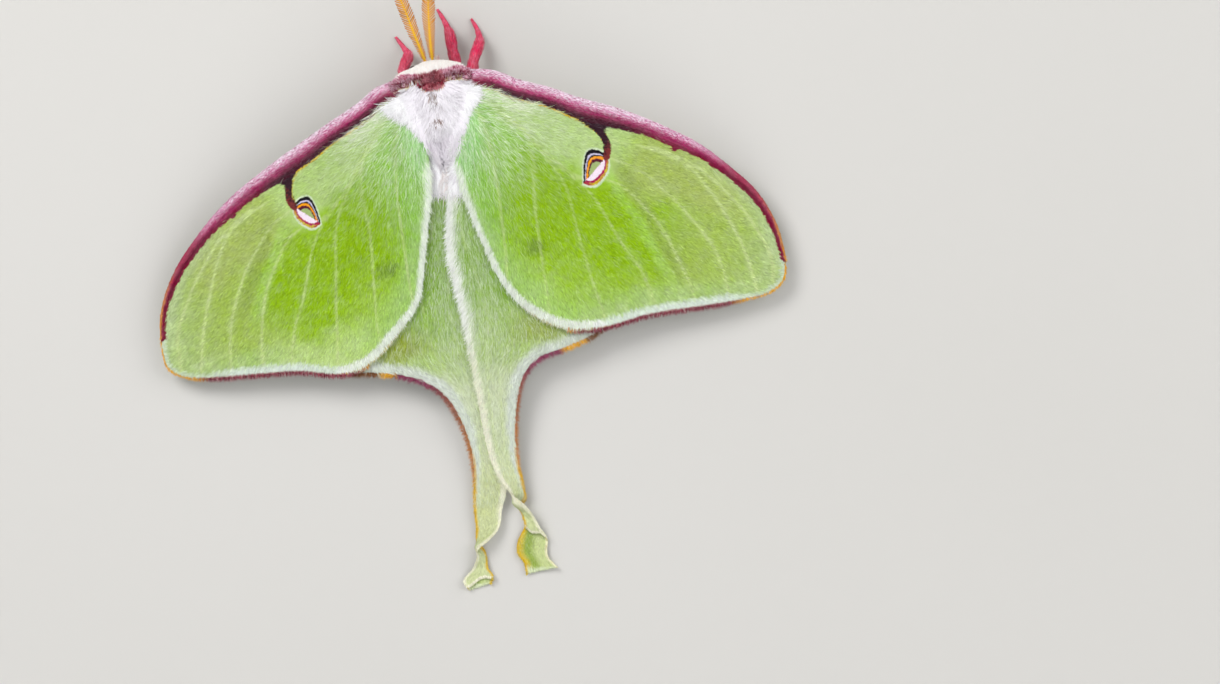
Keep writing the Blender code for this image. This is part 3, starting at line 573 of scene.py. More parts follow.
    # across the band: lilac front, rose middle, dark rear
    across = (front + (k.noise(0.3, 6.0) - 0.5) * 0.34) / width
    rib = k.mix(COSTA_LILAC, COSTA_PINK, k.step(0.06, 0.28, across))
    rib = k.mix(rib, COSTA_ROSE, k.step(0.22, 0.48, across))
    rib = k.mix(rib, COSTA_PLUM, k.step(0.50, 0.66, across))
    rib = k.mix(rib, COSTA_DARK, k.step(0.64, 0.84, across) * 0.95)
    rib = k.mix(rib, k.mix(lin(206, 120, 158), lin(142, 40, 66), k.step(0.15, 0.55, across)), k.step(1.6, 0.3, s) * 0.85)
    tip = k.mix(COSTA_PINK, COSTA_ROSE, k.step(0.15, 0.50, across))
    tip = k.mix(tip, COSTA_TIP, k.step(0.50, 0.90, across))
    rib = k.mix(rib, tip, k.step(5.4, 7.0, s))
    rib = k.mix(rib, k.mix(COSTA_TIP_ROSE, COSTA_TIP, k.step(0.2, 0.7, across)), k.step(7.6, 9.4, s))
    rib = k.mix(rib, FRINGE_GOLD, k.step(9.6, 11.8, s) * k.step(0.40, 0.15, across) * 0.6)
    rib = k.mix(rib, lin(240, 236, 240), k.step(5.3, 4.7, k.size(f["x"])) * k.step(-1.6, -1.2, f["y"]))
    return k.mix(c, rib, k.step(0.06, -0.06, band))


def hind_marks(k, f):
    """Colour of a hindwing and its tail."""
    inner, outer, s, t = f["inner"], f["outer"], f["s"], f["t"]
    x, y = f["x"], f["y"]
    fine = k.noise(0.35, 2.0)
    patch = k.noise(2.4, 4.0)
    c = k.mix(HIND_DEEP, HIND_MID, k.step(3.4, 6.2, s + (patch - 0.5) * 1.2))
    c = k.mix(c, HIND_LOW, k.step(6.2, 8.6, s))
    # painted shadow: olive on the hindwing under and beside the forewing's rear edge
    c = k.mix(c, HIND_SHADOW, k.step(3.9, 4.9, s) * k.step(6.2, 5.2, s) * k.step(0.30, 0.55, t) * 0.75)
    beside = k.root((x - 10.6) * (x - 10.6) + (y - 33.2) * (y - 33.2) * 0.35)
    c = k.mix(c, lin(152, 168, 46), k.step(2.6, 0.6, beside + (patch - 0.5) * 1.2) * 0.62)
    c = k.mix(c, TAIL, k.step(9.6, 12.0, s) * 0.9)
    c = k.mix(c, TAIL_END, k.step(50.0, 56.0, y) * 0.9)
    c = k.mix(c, lin(140, 176, 92), k.step(0.52, 0.78, k.noise(0.8, 22.0)) * 0.30 * k.step(40.0, 30.0, y))
    c = k.mix(c, VEIN, k.step(0.26, 0.06, f["vein"]) * 0.35)
    wobble = (fine - 0.5) * 0.8
    wide = 1.6 - 0.8 * k.step(40.0, 54.0, y)
    c = k.mix(c, HIND_BAND, k.step(1.3, 0.6, (outer + wobble) / wide) * 0.9 * k.step(1.5, 4.0, s) * k.step(58.0, 52.0, y))
    strip = 0.8 + 0.15 * k.step(36.0, 42.0, y) * k.step(56.0, 50.0, y)
    c = k.mix(c, CREAM_EDGE, k.step(1.25, 0.65, (inner + wobble * 0.5) / strip) * 0.85 * k.step(60.0, 55.0, y))
    c = k.mix(c, WHITE_EDGE, k.step(0.9, 0.3, inner + wobble * 0.6) * k.step(38.0, 30.0, y) * 0.8)
    edge = k.low(inner, outer)
    c = k.mix(c, lin(226, 182, 44), k.step(0.50, 0.12, outer + wobble * 0.2) * k.step(48.0, 52.0, y) * 0.9)
    c = k.mix(c, lin(250, 246, 224), k.step(0.55, 0.2, inner + wobble * 0.2) * k.step(50.0, 53.0, y) * 0.8)
    # the opened end: gold towards one edge, deep green, then mint
    lip = f["lip"]
    turn = k.step(-0.5, 0.5, x)
    across = t + (1.0 - t * 2.0) * turn
    spoon = k.mix(lin(200, 212, 146), lin(140, 166, 48), k.step(0.30, 0.62, across + (patch - 0.5) * 0.3))
    spoon = k.mix(spoon, lin(212, 184, 24), k.step(0.68, 0.92, across))
    spoon = k.mix(spoon, lin(214, 224, 184), k.step(0.5, 0.9, y - 65.2 + x * 0.12 - turn * 2.2 + wobble))
    opened = k.step(0.0, 0.15, lip)
    c = k.mix(c, spoon, opened * 0.95)
    # painted shade: darker green just inside the fold, under its lip
    c = k.mix(c, lin(108, 136, 36), opened * k.step(0.7, 0.1, lip) * 0.55)
    c = k.mix(c, lin(250, 246, 222), k.step(0.24, 0.10, k.size(lip + 0.12)) * 0.95)
    c = k.mix(c, lin(246, 240, 206), opened * k.step(0.45, 0.15, inner) * 0.85)
    c = k.mix(c, lin(222, 176, 36), opened * k.step(0.40, 0.12, outer) * 0.8)
    return eyespot(k, c, f["p"], f["v"])


HEAD_CREAM = lin(254, 248, 243)
FACE = lin(236, 218, 206)
COLLAR_PLUM = lin(198, 84, 114)
COLLAR_LILAC = lin(214, 146, 180)
COLLAR_DARK = lin(126, 36, 58)
COLLAR_RED = lin(160, 58, 72)
COLLAR_LINE = lin(234, 214, 150)
FUR_WHITE = lin(254, 252, 254)
FUR_GREY = lin(214, 208, 214)
FUR_DARK = lin(112, 90, 84)
BELLY = lin(243, 236, 228)
LEG_ROSE = lin(238, 84, 116)
LEG_DEEP = lin(184, 36, 78)


def collar_front(k, x):
    return -2.62 - 0.20 * k.step(1.0, -0.5, x) - 0.28 * k.step(-1.8, -3.0, x) - 0.20 * k.step(2.4, 4.0, x)


def collar_back(k, x):
    return (-1.62 + 0.24 * k.step(2.6, 4.2, x) + 0.16 * k.step(4.6, 5.6, x) - 0.15 * k.step(-3.6, -4.6, x)
            + 0.64 * k.step(1.70, 0.9, k.size(x - 0.45)))


def body_marks(k, x, y, z):
    """Colour of the body's skin and fur: cream head, maroon collar, white back."""
    patch = k.noise(1.1, 8.0)
    fine = k.noise(0.3, 9.0)
    wave = (fine - 0.5) * 0.5
    c = k.mix(FUR_WHITE, FUR_GREY, k.step(0.55, 0.85, patch) * 0.25)
    # painted shade: greyer fur in the middle of the back towards its rear, where the locks part
    grey = k.step(4.2, 1.4, k.size(y - 7.8)) * k.step(2.8, 1.2, k.size(x - 0.5))
    c = k.mix(c, FUR_GREY, grey * 0.9)
    streak = k.step(0.17, 0.05, k.size(x - 0.62 + 0.15 * y)) * k.step(-0.8, 0.0, y) * k.step(2.7, 1.6, y)
    spots = k.step(0.70, 0.25, k.root((x - 0.6) * (x - 0.6) + (y - 3.8) * (y - 3.8))) * k.step(0.45, 0.6, fine)
    c = k.mix(c, FUR_DARK, k.high(streak, spots) * k.step(9.0, 9.6, z) * 0.8)
    # collar: from plum-tipped front to dark rear, redder in the middle
    start, end = collar_front(k, x), collar_back(k, x)
    part = (y - start) / (end - start)
    collar = k.mix(COLLAR_LILAC, COLLAR_PLUM, k.step(-0.1, 0.45, part + wave * 0.8))
    collar = k.mix(collar, COLLAR_DARK, k.step(0.40, 0.85, part + wave * 0.8))
    tuft = k.mix(COLLAR_RED, lin(104, 32, 46), k.step(0.44, 0.60, fine))
    tuft = k.mix(tuft, lin(196, 112, 128), k.step(0.56, 0.72, k.noise(0.45, 12.0)) * 0.7)
    tuft = k.mix(lin(190, 84, 106), tuft, k.step(0.0, 0.16, part))
    collar = k.mix(collar, tuft, k.step(1.75, 1.40, k.size(x - 0.5) + wave * 0.8))
    ends = k.high(k.step(4.7, 5.3, x), k.step(-3.9, -4.4, x))
    root = k.mix(lin(212, 134, 172), lin(138, 40, 66), k.step(0.30, 0.62, part + wave * 0.6))
    collar = k.mix(collar, root, ends)
    c = k.mix(COLLAR_LINE, c, k.high(k.step(0.0, 0.10, y - end + wave * 0.4), ends))
    c = k.mix(collar, c, k.step(-0.08, 0.08, y - end + wave * 0.4))
    head = k.mix(FACE, HEAD_CREAM, k.step(5.6, 7.2, z))
    c = k.mix(k.mix(head, root, ends), c, k.step(-0.1, 0.1, y - start + wave * 0.4))
    low = k.mix(BELLY, head, k.step(-1.8, -2.8, y))
    return k.mix(low, c, k.step(7.8, 8.6, z))


# --------------------------------------------------------------------- meshes
def to_row(points):
    return (np.asarray(points, float) + SHIFT) * MM


def make_mesh(name, points, triangles=None, quads=None, smooth_shade=True):
    """A mesh from arrays of points (mm) and of corner numbers."""
    faces = []
    if quads is not None and len(quads):
        faces.append((np.asarray(quads), 4))
    if triangles is not None and len(triangles):
        faces.append((np.asarray(triangles), 3))
    mesh = bpy.data.meshes.new(name)
    co = to_row(points).astype(np.float32)
    mesh.vertices.add(len(co))
    mesh.vertices.foreach_set("co", co.ravel())
    loops = np.concatenate([f.reshape(-1) for f, _ in faces]).astype(np.int32)
    starts, at = [], 0
    for f, n in faces:
        starts.append(at + np.arange(len(f)) * n)
        at += len(f) * n
    starts = np.concatenate(starts).astype(np.int32)
    mesh.loops.add(len(loops))
    mesh.loops.foreach_set("vertex_index", loops)
    mesh.polygons.add(len(starts))
    mesh.polygons.foreach_set("loop_start", starts)
    mesh.update(calc_edges=True)
    if smooth_shade:
        mesh.shade_smooth()
    obj = bpy.data.objects.new(name, mesh)
    bpy.context.scene.collection.objects.link(obj)
    return obj


def set_vector(obj, name, values):
    a = obj.data.attributes.new(name, "FLOAT_VECTOR", "POINT")
    a.data.foreach_set("vector", np.asarray(values, np.float32).ravel())


def set_colour(obj, name, values):
    a = obj.data.color_attributes.new(name, "FLOAT_COLOR", "POINT")
    rgba = np.ones((len(values), 4), np.float32)
    rgba[:, :3] = values
    a.data.foreach_set("color", rgba.ravel())


def set_uv(obj, uv):
    """The unwrap by vertex, as the map that the coat's colours are baked on."""
    loops = np.empty(len(obj.data.loops), np.int32)
    obj.data.loops.foreach_get("vertex_index", loops)
    layer = obj.data.uv_layers.new(name="OFBake")
    layer.data.foreach_set("uv", np.asarray(uv, np.float32)[loops].ravel())


PIECES = []


def piece(obj, material, slot, *nodes):
    obj.data.materials.clear()
    obj.data.materials.append(material)
    PIECES.append((obj, slot, nodes))
    return obj


# ------------------------------------------------------------------ materials
def new_material(name):
    mat = bpy.data.materials.new(name)
    mat.use_nodes = True
    tree = mat.node_tree
    return mat, tree, tree.nodes["Principled BSDF"], Nodes(tree)


def bump(net, shader, height, distance, strength=0.6):
    node = net.tree.nodes.new("ShaderNodeBump")
    node.inputs["Distance"].default_value = distance * MM
    node.inputs["Strength"].default_value = strength
    net.put(node.inputs["Height"], height)
    net.tree.links.new(node.outputs["Normal"], shader.inputs["Normal"])


def wing_material(name, marks, fields):
    mat, tree, shader, net = new_material(name)
    f = {}
    for attribute, names in fields.items():
        f.update(dict(zip(names, net.vector(attribute))))
    colour = marks(net, f)
    strands = net.noise(0.12, 12.0, 3.0)
    colour = net.mix(colour, lin(236, 242, 206), net.step(0.55, 0.8, strands) * 0.18)
    colour = net.mix(colour, lin(70, 104, 22), net.step(0.45, 0.2, strands) * 0.22)
    net.put(shader.inputs["Base Color"], colour)
    net.put(shader.inputs["Roughness"], 0.62 + net.noise(0.4, 15.0) * 0.25)
    shader.inputs["Specular IOR Level"].default_value = 0.25
    shader.inputs["Sheen Weight"].default_value = 0.15
    shader.inputs["Sheen Roughness"].default_value = 0.5
    bump(net, shader, strands + net.noise(0.05, 17.0) * 0.5, 0.05)
    return mat


def coat_material(name, roughness, sheen, specular, spread):
    """Hairs and scales: each carries its own tint, broken by fine mottling."""
    mat, tree, shader, net = new_material(name)
    tint = tree.nodes.new("ShaderNodeAttribute")
    tint.attribute_name = "tint"
    mottle = net.noise(0.22, 4.0, 2.0)
    shade = tree.nodes.new("ShaderNodeHueSaturation")
    tree.links.new(tint.outputs["Color"], shade.inputs["Color"])
    net.put(shade.inputs["Value"], 1.0 + (mottle - 0.5) * spread)
    net.put(shade.inputs["Saturation"], 1.0 + (net.noise(0.6, 7.0) - 0.5) * 0.35)
    tree.links.new(shade.outputs["Color"], shader.inputs["Base Color"])
    net.put(shader.inputs["Roughness"], roughness + (mottle - 0.5) * 0.3)
    shader.inputs["Specular IOR Level"].default_value = specular
    shader.inputs["Sheen Weight"].default_value = sheen
    shader.inputs["Sheen Roughness"].default_value = 0.45
    bump(net, shader, net.noise(0.04, 8.0, 1.0), 0.015, 0.35)
    return mat


def skin_material():
    mat, tree, shader, net = new_material("moth_skin")
    x, y, z = net.place()
    colour = body_marks(net, x, y, z)
    leg, ring, _ = net.vector("zone")
    fine = net.noise(0.2, 5.0, 2.0)
    colour = net.mix(colour, lin(214, 206, 192), net.step(0.55, 0.4, ring) * 0.4)
    colour = net.mix(colour, net.mix(LEG_DEEP, LEG_ROSE, fine), net.step(0.35, 0.65, leg))
    net.put(shader.inputs["Base Color"], colour)
    net.put(shader.inputs["Roughness"], 0.7 + fine * 0.2)
    shader.inputs["Specular IOR Level"].default_value = 0.2
    shader.inputs["Sheen Weight"].default_value = 0.2
    bump(net, shader, fine + net.noise(0.07, 6.0), 0.05)
    return mat


# ----------------------------------------------------------------- the sheets
class Sheet:
    """A grid of points with normals, half thickness, lie of the coat and fields."""

    def __init__(self, points, half, fields, lie, closed=False):
        self.p, self.half, self.f, self.closed = points, half, fields, closed
        di = np.gradient(points, axis=0)
        dj = np.gradient(points, axis=1)
        if closed:
            dj[:, 0] = dj[:, -1] = (points[:, 1] - points[:, -2]) / 2
        self.along, self.across = unit(di), unit(dj)
        self.n = unit(np.cross(di, dj))
        self.lie = lie

    def turn(self):
        self.n = -self.n
        return self

    def finish(self):
        lie = self.lie
        self.lie = unit(lie - self.n * np.sum(lie * self.n, axis=-1, keepdims=True))
        a = self.p[1:, 1:] - self.p[:-1, :-1]
        b = self.p[1:, :-1] - self.p[:-1, 1:]
        self.area = np.linalg.norm(np.cross(a, b), axis=-1) / 2
        return self

    def draw(self, count, weight):
        """count seeded places on the sheet, spread by area times weight."""
        w = (weight[1:, 1:] + weight[:-1, :-1] + weight[1:, :-1] + weight[:-1, 1:]) / 4
        total = np.cumsum((self.area * w).ravel())
        u = (np.arange(count) + rng.random(count)) / count * total[-1]
        k = np.minimum(np.searchsorted(total, u), len(total) - 1)
        i, j = np.unravel_index(k, self.area.shape)
        return i, j, rng.random(count), rng.random(count)

    def at(self, grid, where):
        i, j, a, b = where
        if grid.ndim == 3:
            a, b = a[:, None], b[:, None]
        return (grid[i, j] * (1 - a) * (1 - b) + grid[i + 1, j] * a * (1 - b)
                + grid[i, j + 1] * (1 - a) * b + grid[i + 1, j + 1] * a * b)


def outline_width(s):
    return COSTA_WIDTH + (COSTA_TIP_WIDTH - COSTA_WIDTH) * smooth(0.0, 13.0, s)


def spot_axes(corner, far, crown):
    a, b, c = (np.array(v, float) for v in (corner, far, crown))
    middle, axis = (a + b) / 2, unit(b - a)
    up = np.array([-axis[1], axis[0]])
    if (c - middle) @ up < 0:
        up = -up
    return middle, axis, up, 2.1 / (np.linalg.norm(b - a) / 2)


def forewing(side):
    stations = FOREWING[side]
    sign = 1.0 if side == "left" else -1.0
    n = 13 * 12 + 1
    s = np.linspace(0, 13, n)
    front = spline([a for a, b in stations], n)
    rear = spline([b for a, b in stations], n)
    chord = np.linalg.norm(rear - front, axis=1)
    width = np.minimum(outline_width(s), 0.45 * chord)
    rib = np.linspace(0, 1, 11)
    rib = 0.5 - 0.5 * np.cos(np.pi * rib)
    web = np.linspace(0, 1, 61)[1:]
    d = np.concatenate([width[:, None] * rib, width[:, None] + (chord - width)[:, None] * web], axis=1)
    t = d / chord[:, None]
    xy = front[:, None] + (rear - front)[:, None] * t[..., None]
    x, y = xy[..., 0], xy[..., 1]
    s2 = np.broadcast_to(s[:, None], t.shape)

    def place(a, b):
        f = np.array([np.interp(a, s, front[:, c]) for c in (0, 1)])
        r = np.array([np.interp(a, s, rear[:, c]) for c in (0, 1)])
        return f + (r - f) * b

    veins = np.min([line_distance(xy, [place(*q) for q in spline(v, 24)]) for v in FORE_VEINS], axis=0)
    to_front = line_distance(xy, front)
    first = int(7 * 12)
    to_outer = line_distance(xy, np.vstack([rear[first:], front[-1:]]))
    to_inner = line_distance(xy, rear[:first + 1])
    to_outer = np.where(s2 < 6.0, to_outer + 0.0, to_outer)
    middle, axis, up, scale = spot_axes(*SPOT[side][:3])
    rel = (xy - middle) * scale
    fields = {
        "front": to_front, "outer": to_outer, "inner": to_inner, "s": s2, "vein": veins,
        "stalk": line_distance(xy, spline(SPOT[side][3], 20)), "p": rel @ axis, "v": rel @ up,
        "x": x, "y": y, "sx": x - SMUDGE[side][0], "sy": y - SMUDGE[side][1],
        "nx": x - NICK[side][0], "ny": y - NICK[side][1], "t": t,
    }
    # ridged veins, and a slight dip between them
    relief = 0.07 * np.exp(-(veins / 0.26) ** 2) - 0.04 * smooth(0.3, 1.6, veins)
    relief *= smooth(0.0, 1.5, np.minimum(to_outer, to_inner)) * smooth(1.0, 1.4, d / width[:, None])
    folds = Arrays(np.dstack([x, y, 0 * x]).reshape(-1, 3)).noise(1.5, 41.0).reshape(x.shape)
    relief = relief + 0.34 * (folds - 0.5) * smooth(9.0, 3.5, line_distance(xy, rear[first:])) * smooth(0.2, 1.6, np.minimum(to_outer, to_inner)) * (t > 0.3)
    z = fore_height(x, y) + relief - 0.45 * smooth(1.3, 0.1, s2)
    points = np.dstack([x, y, z])
    q = d / width[:, None]
    deep = (COSTA_THICK + (COSTA_TIP_THICK - COSTA_THICK) * smooth(0.0, 13.0, s))[:, None] / 2 * 0.80
    half = deep * np.sqrt(np.clip(1 - (2 * q - 1) ** 2, 0, 1)) * (q <= 1)
    half = np.maximum(half, 0.075 * np.clip(q / 0.1, 0.15, 1))
    half *= np.clip(0.25 + np.minimum(to_outer, to_inner) / 0.5, 0.25, 1)
    half *= 0.5 + 0.5 * smooth(0.2, 1.4, s2)
    # the coat fans out from the wing's base and follows the costa
    base = np.array([sign * 3.5, 2.0])
    fan = unit(xy - base)
    run = unit(np.gradient(xy, axis=0))
    hold = smooth(4.5, 1.2, to_front)[..., None]
    lie = unit(fan * (1 - hold) + run * hold)
    slant = smooth(1.4, 0.5, to_inner)[..., None] * (s2 < 7.5)[..., None]
    out = unit(np.gradient(xy, axis=1))
    lie = unit(lie * (1 - 0.55 * slant) + out * 0.55 * slant)
    sheet = Sheet(points, half, fields, np.dstack([lie, np.zeros_like(x)]))
    if sheet.n[: n // 2, :, 2].mean() < 0:
        sheet.turn()
    # unwrap: distance along the middle of the wing, distance from the costa
    span = np.concatenate([[0], np.cumsum(np.linalg.norm(np.diff((front + rear) / 2, axis=0), axis=1))])
    sheet.uv = np.dstack([0.02 + 0.96 * np.broadcast_to((span / span[-1])[:, None], t.shape), 0.02 + 0.96 * d / chord.max()])
    sheet.front, sheet.rear, sheet.side, sheet.sign, sheet.s = front, rear, side, sign, s
    return sheet.finish()


def hindwing(side):
    stations = HINDWING[side]
    sign = 1.0 if side == "left" else -1.0
    spans = len(stations) - 1
    n = spans * 9 + 1
    s = np.linspace(0, spans, n)
    inner = spline([q[0] for q in stations], n)
    outer = spline([q[1] for q in stations], n)
    tail, first = [], None
    for k, q in enumerate(stations):
        (a, b), rest = q[:2], q[2:]
        if rest:
            first = k if first is None else first
            tail.append(rest)
        else:
            tail.append((hind_height(side, *a), hind_height(side, *b), 0.0))
    tail = spline(tail, n)
    t = np.linspace(0, 1, 45)
    t = 0.5 * t + 0.5 * (0.5 - 0.5 * np.cos(np.pi * t))
    xy = inner[:, None] + (outer - inner)[:, None] * t[None, :, None]
    x, y = xy[..., 0], xy[..., 1]
    s2 = np.broadcast_to(s[:, None], x.shape)
    loose = smooth(first - 2, first, s)[:, None]
    ribbon = tail[:, :1] + (tail[:, 1:2] - tail[:, :1]) * t + tail[:, 2:] * 4 * t * (1 - t)
    laid = hind_height(side, x, y)
    z = laid + (ribbon - laid) * loose

    def place(a, b):
        f = np.array([np.interp(a, s, inner[:, c]) for c in (0, 1)])
        r = np.array([np.interp(a, s, outer[:, c]) for c in (0, 1)])
        return f + (r - f) * b

    veins = np.min([line_distance(xy, [place(*q) for q in spline(v, 24)]) for v in HIND_VEINS], axis=0)
    veins = veins + 3.0 * smooth(first - 1.5, first, s2)
    span = np.linalg.norm(np.gradient(np.dstack([x, y, z]), axis=1), axis=-1)
    run = np.cumsum(span, axis=1) - span[:, :1]
    long = run[:, -1:]
    to_inner = np.where(s2 > first - 2, run, np.minimum(run, line_distance(xy, inner)))
    to_outer = np.where(s2 > first - 2, long - run, np.minimum(long - run, line_distance(xy, outer)))
    middle, axis, up, scale = spot_axes(*HIND_SPOT[side])
    rel = (xy - middle) * scale
    fields = {"inner": to_inner, "outer": to_outer, "s": s2, "vein": veins,
              "p": rel @ axis, "v": rel @ up, "x": x, "y": y, "t": np.broadcast_to(t[None], x.shape)}
    relief = (0.06 * np.exp(-(veins / 0.26) ** 2) - 0.03 * smooth(0.3, 1.4, veins)) * smooth(0.0, 1.2, np.minimum(to_inner, to_outer))
    # the tail is rolled where it twists, and folds over where it opens again
    at, reach, bow = ROLL[side]
    middle_y = (inner[:, 1] + outer[:, 1]) / 2
    roll = bow * np.exp(-((middle_y - at) / reach) ** 2)
    x = x + roll[:, None] * 4 * t * (1 - t)
    lip = y - np.interp(x, *FOLD[side])
    z = z + 0.40 * smooth(0.22, -0.05, lip) * smooth(-2.2, -0.4, lip) * (y > 58) - 0.25 * smooth(-0.05, 0.25, lip) * smooth(1.6, 0.4, lip) * (y > 58)
    z = np.maximum(z, 0.20)
    fields["lip"], fields["x"] = np.where(y > 58, np.clip(lip, -6.0, 6.0), -6.0), x
    points = np.dstack([x, y, z])
    half = 0.075 * np.clip(0.3 + np.minimum(to_inner, to_outer) / 0.5, 0.3, 1)
    base = np.array([sign * 1.5, 5.0])
    fan = np.dstack([unit(xy - base), np.zeros_like(x)])
    run3 = unit(np.gradient(points, axis=0))
    flow = smooth(4.5, 8.0, s2)[..., None]
    lie = unit(fan * (1 - flow) + run3 * flow)
    sheet = Sheet(points, half, fields, lie)
    if sheet.n[: n // 3, :, 2].mean() < 0:
        sheet.turn()
    sheet.p = points + sheet.n * relief[..., None]
    size = np.concatenate([[0], np.cumsum(np.linalg.norm(np.diff((inner + outer) / 2, axis=0), axis=1))])
    sheet.uv = np.dstack([0.02 + 0.96 * np.broadcast_to((size / size[-1])[:, None], x.shape), 0.02 + 0.96 * run / long.max()])
    sheet.front, sheet.rear, sheet.side, sheet.sign, sheet.s, sheet.first = inner, outer, side, sign, s, first
    return sheet.finish()


FORE_FIELDS = {"wa": ("front", "outer", "inner"), "wb": ("s", "vein", "stalk"),
               "wc": ("p", "v", "t"), "wd": ("x", "y", "t"), "we": ("sx", "sy", "t"), "wf": ("nx", "ny", "t")}
HIND_FIELDS = {"wa": ("inner", "outer", "t"), "wb": ("s", "vein", "t"), "wc": ("p", "v", "t"), "wd": ("x", "y", "t"), "we": ("lip", "t", "t")}


def membrane(name, sheet, fields):
    """Both faces of a wing and its rim, as one closed mesh."""
    ni, nj = sheet.p.shape[:2]
    up = sheet.p + sheet.n * sheet.half[..., None]
    down = sheet.p - sheet.n * sheet.half[..., None]
    index = np.arange(ni * nj).reshape(ni, nj)
    lower = index + ni * nj
    a, b, c, d = index[:-1, :-1], index[1:, :-1], index[1:, 1:], index[:-1, 1:]
    quads = [np.stack([a, b, c, d], -1).reshape(-1, 4)]
    a, b, c, d = lower[:-1, :-1], lower[:-1, 1:], lower[1:, 1:], lower[1:, :-1]
    quads.append(np.stack([a, b, c, d], -1).reshape(-1, 4))
    for u, l, flip in ((index[0], lower[0], False), (index[-1], lower[-1], True),
                       (index[:, 0], lower[:, 0], True), (index[:, -1], lower[:, -1], False)):
        q = np.stack([u[:-1], u[1:], l[1:], l[:-1]], -1)
        quads.append(q[:, ::-1] if flip else q)
    quads = np.vstack(quads)
    corner = sheet.p[1, 1] - sheet.p[0, 0]
    if np.dot(np.cross(sheet.along[5, 5], sheet.across[5, 5]), sheet.n[5, 5]) < 0:
        quads = quads[:, ::-1]
    obj = make_mesh(name, np.vstack([up.reshape(-1, 3), down.reshape(-1, 3)]), quads=quads)
    for attribute, names in fields.items():
        v = np.dstack([sheet.f.get(q, np.zeros((ni, nj))) for q in names]).reshape(-1, 3)
        set_vector(obj, attribute, np.vstack([v, v]))
    return obj


# ------------------------------------------------------------ growing the coat
SHAPES = {   # where along a blade, and how wide, its pairs of points are
    1: ((0.42,), (1.0,)),
    2: ((0.0, 0.48), (0.55, 1.0)),
    3: ((0.0, 0.34, 0.68), (0.6, 1.0, 0.72)),
    4: ((0.0, 0.26, 0.52, 0.78), (0.6, 1.0, 0.85, 0.55)),
}


def grow(name, material, slot, root, along, up, length, width, tint, uv, segs=2, rise=0.10, fall=-0.05,
         lean=None, roll=0.35, sway=0.10, tip=None, fix=None, most=190_000):
    """Blades from the roots, each a tapered strip of segs parts, as joined meshes.
    rise and fall lift the blade off the skin and bend it back; lean pulls its tip."""
    n = len(root)
    if n == 0:
        return
    at, wide = SHAPES[segs]
    spread = lambda v: np.broadcast_to(np.asarray(v, float), (n,))
    length, width, rise, fall = spread(length), spread(width), spread(rise), spread(fall)
    side = unit(np.cross(up, along))
    angle = rng.normal(0.0, roll, n)[:, None]
    flat = side * np.cos(angle) + up * np.sin(angle)
    bend = rng.normal(0.0, sway, n)
    columns, weights = [], []

    def centre(u):
        c = root + along * (length * u)[:, None] + up * (length * (rise * u + fall * u * u))[:, None]
        c = c + side * (length * bend * u * u)[:, None]
        return c if lean is None else c + lean * (u * u)

    if segs == 1:
        columns.append(centre(0.0)); weights.append(0.0)
    for u, w in zip(at, wide):
        c, half = centre(u), flat * (width * w / 2)[:, None]
        columns += [c - half, c + half]
        weights += [u, u]
    columns.append(centre(1.0)); weights.append(1.0)
    v = np.stack(columns, axis=1)                       # n, m, 3
    if fix is not None:
        v = fix(v)
    m = v.shape[1]
    if segs == 1:
        shape = [(0, 1, 2), (2, 1, 3)]
        patch = [(0, -1), (-1, 0), (1, 0), (0, 1)]
    else:
        shape, patch = [], []
        for k in range(segs - 1):
            a = 2 * k
            shape += [(a, a + 1, a + 3), (a, a + 3, a + 2)]
        shape.append((m - 3, m - 2, m - 1))
        for u in at:
            patch += [(-1, 2 * u - 1), (1, 2 * u - 1)]
        patch.append((0, 1))
    shape, patch = np.array(shape), np.array(patch, float) * 0.0015
    w = np.array(weights) ** 1.3
    end = tint if tip is None else tip
    colour = tint[:, None] * (1 - w[None, :, None]) + end[:, None] * w[None, :, None]
    per = max(1, int(most // len(shape)))
    parts = math.ceil(n / per)
    order = np.arange(n)
    for part in range(parts):
        pick = order[part::parts]
        k = len(pick)
        tri = (shape[None] + (np.arange(k) * m)[:, None, None]).reshape(-1, 3)
        label = name if parts == 1 else f"{name}_{part + 1}"
        obj = make_mesh(label, v[pick].reshape(-1, 3), triangles=tri)
        set_colour(obj, "tint", np.clip(colour[pick], 0, 1).reshape(-1, 3))
        set_uv(obj, (uv[pick][:, None] + patch[None]).reshape(-1, 2))
        piece(obj, material, slot)


def vary(colour, amount, pale=0.0, deep=0.0, tint=(0.80, 0.86, 0.50)):
    """Each blade a little lighter or darker than its neighbour; pale and deep
    are how far a few strands go, least of all on dark or many-coloured marks."""
    n = len(colour)
    out = colour * np.exp(rng.normal(0.0, 1.0, n) * amount)[:, None]
    bright = smooth(0.10, 0.35, colour[:, 1])
    if np.any(pale):
        f = (np.clip((rng.random(n) - 0.62) / 0.38, 0, 1) * pale * bright)[:, None]
        out = out * (1 - f) + (0.45 * out + 0.55 * np.array(tint)) * f
    if np.any(deep):
        f = (np.clip((rng.random(n) - 0.62) / 0.38, 0, 1) * deep * bright)[:, None]
        out = out * (1 - f * 0.5)
    return np.clip(out, 0, 1)


def turned(along, up, angle):
    """Each direction turned by its angle in the skin's plane."""
    a = angle[:, None]
    return unit(along * np.cos(a) + np.cross(up, along) * np.sin(a))


def swerve(along, up, amount):
    """Turns each direction a little in the skin's plane."""
    return turned(along, up, rng.normal(0.0, 1.0, len(along)) * amount)


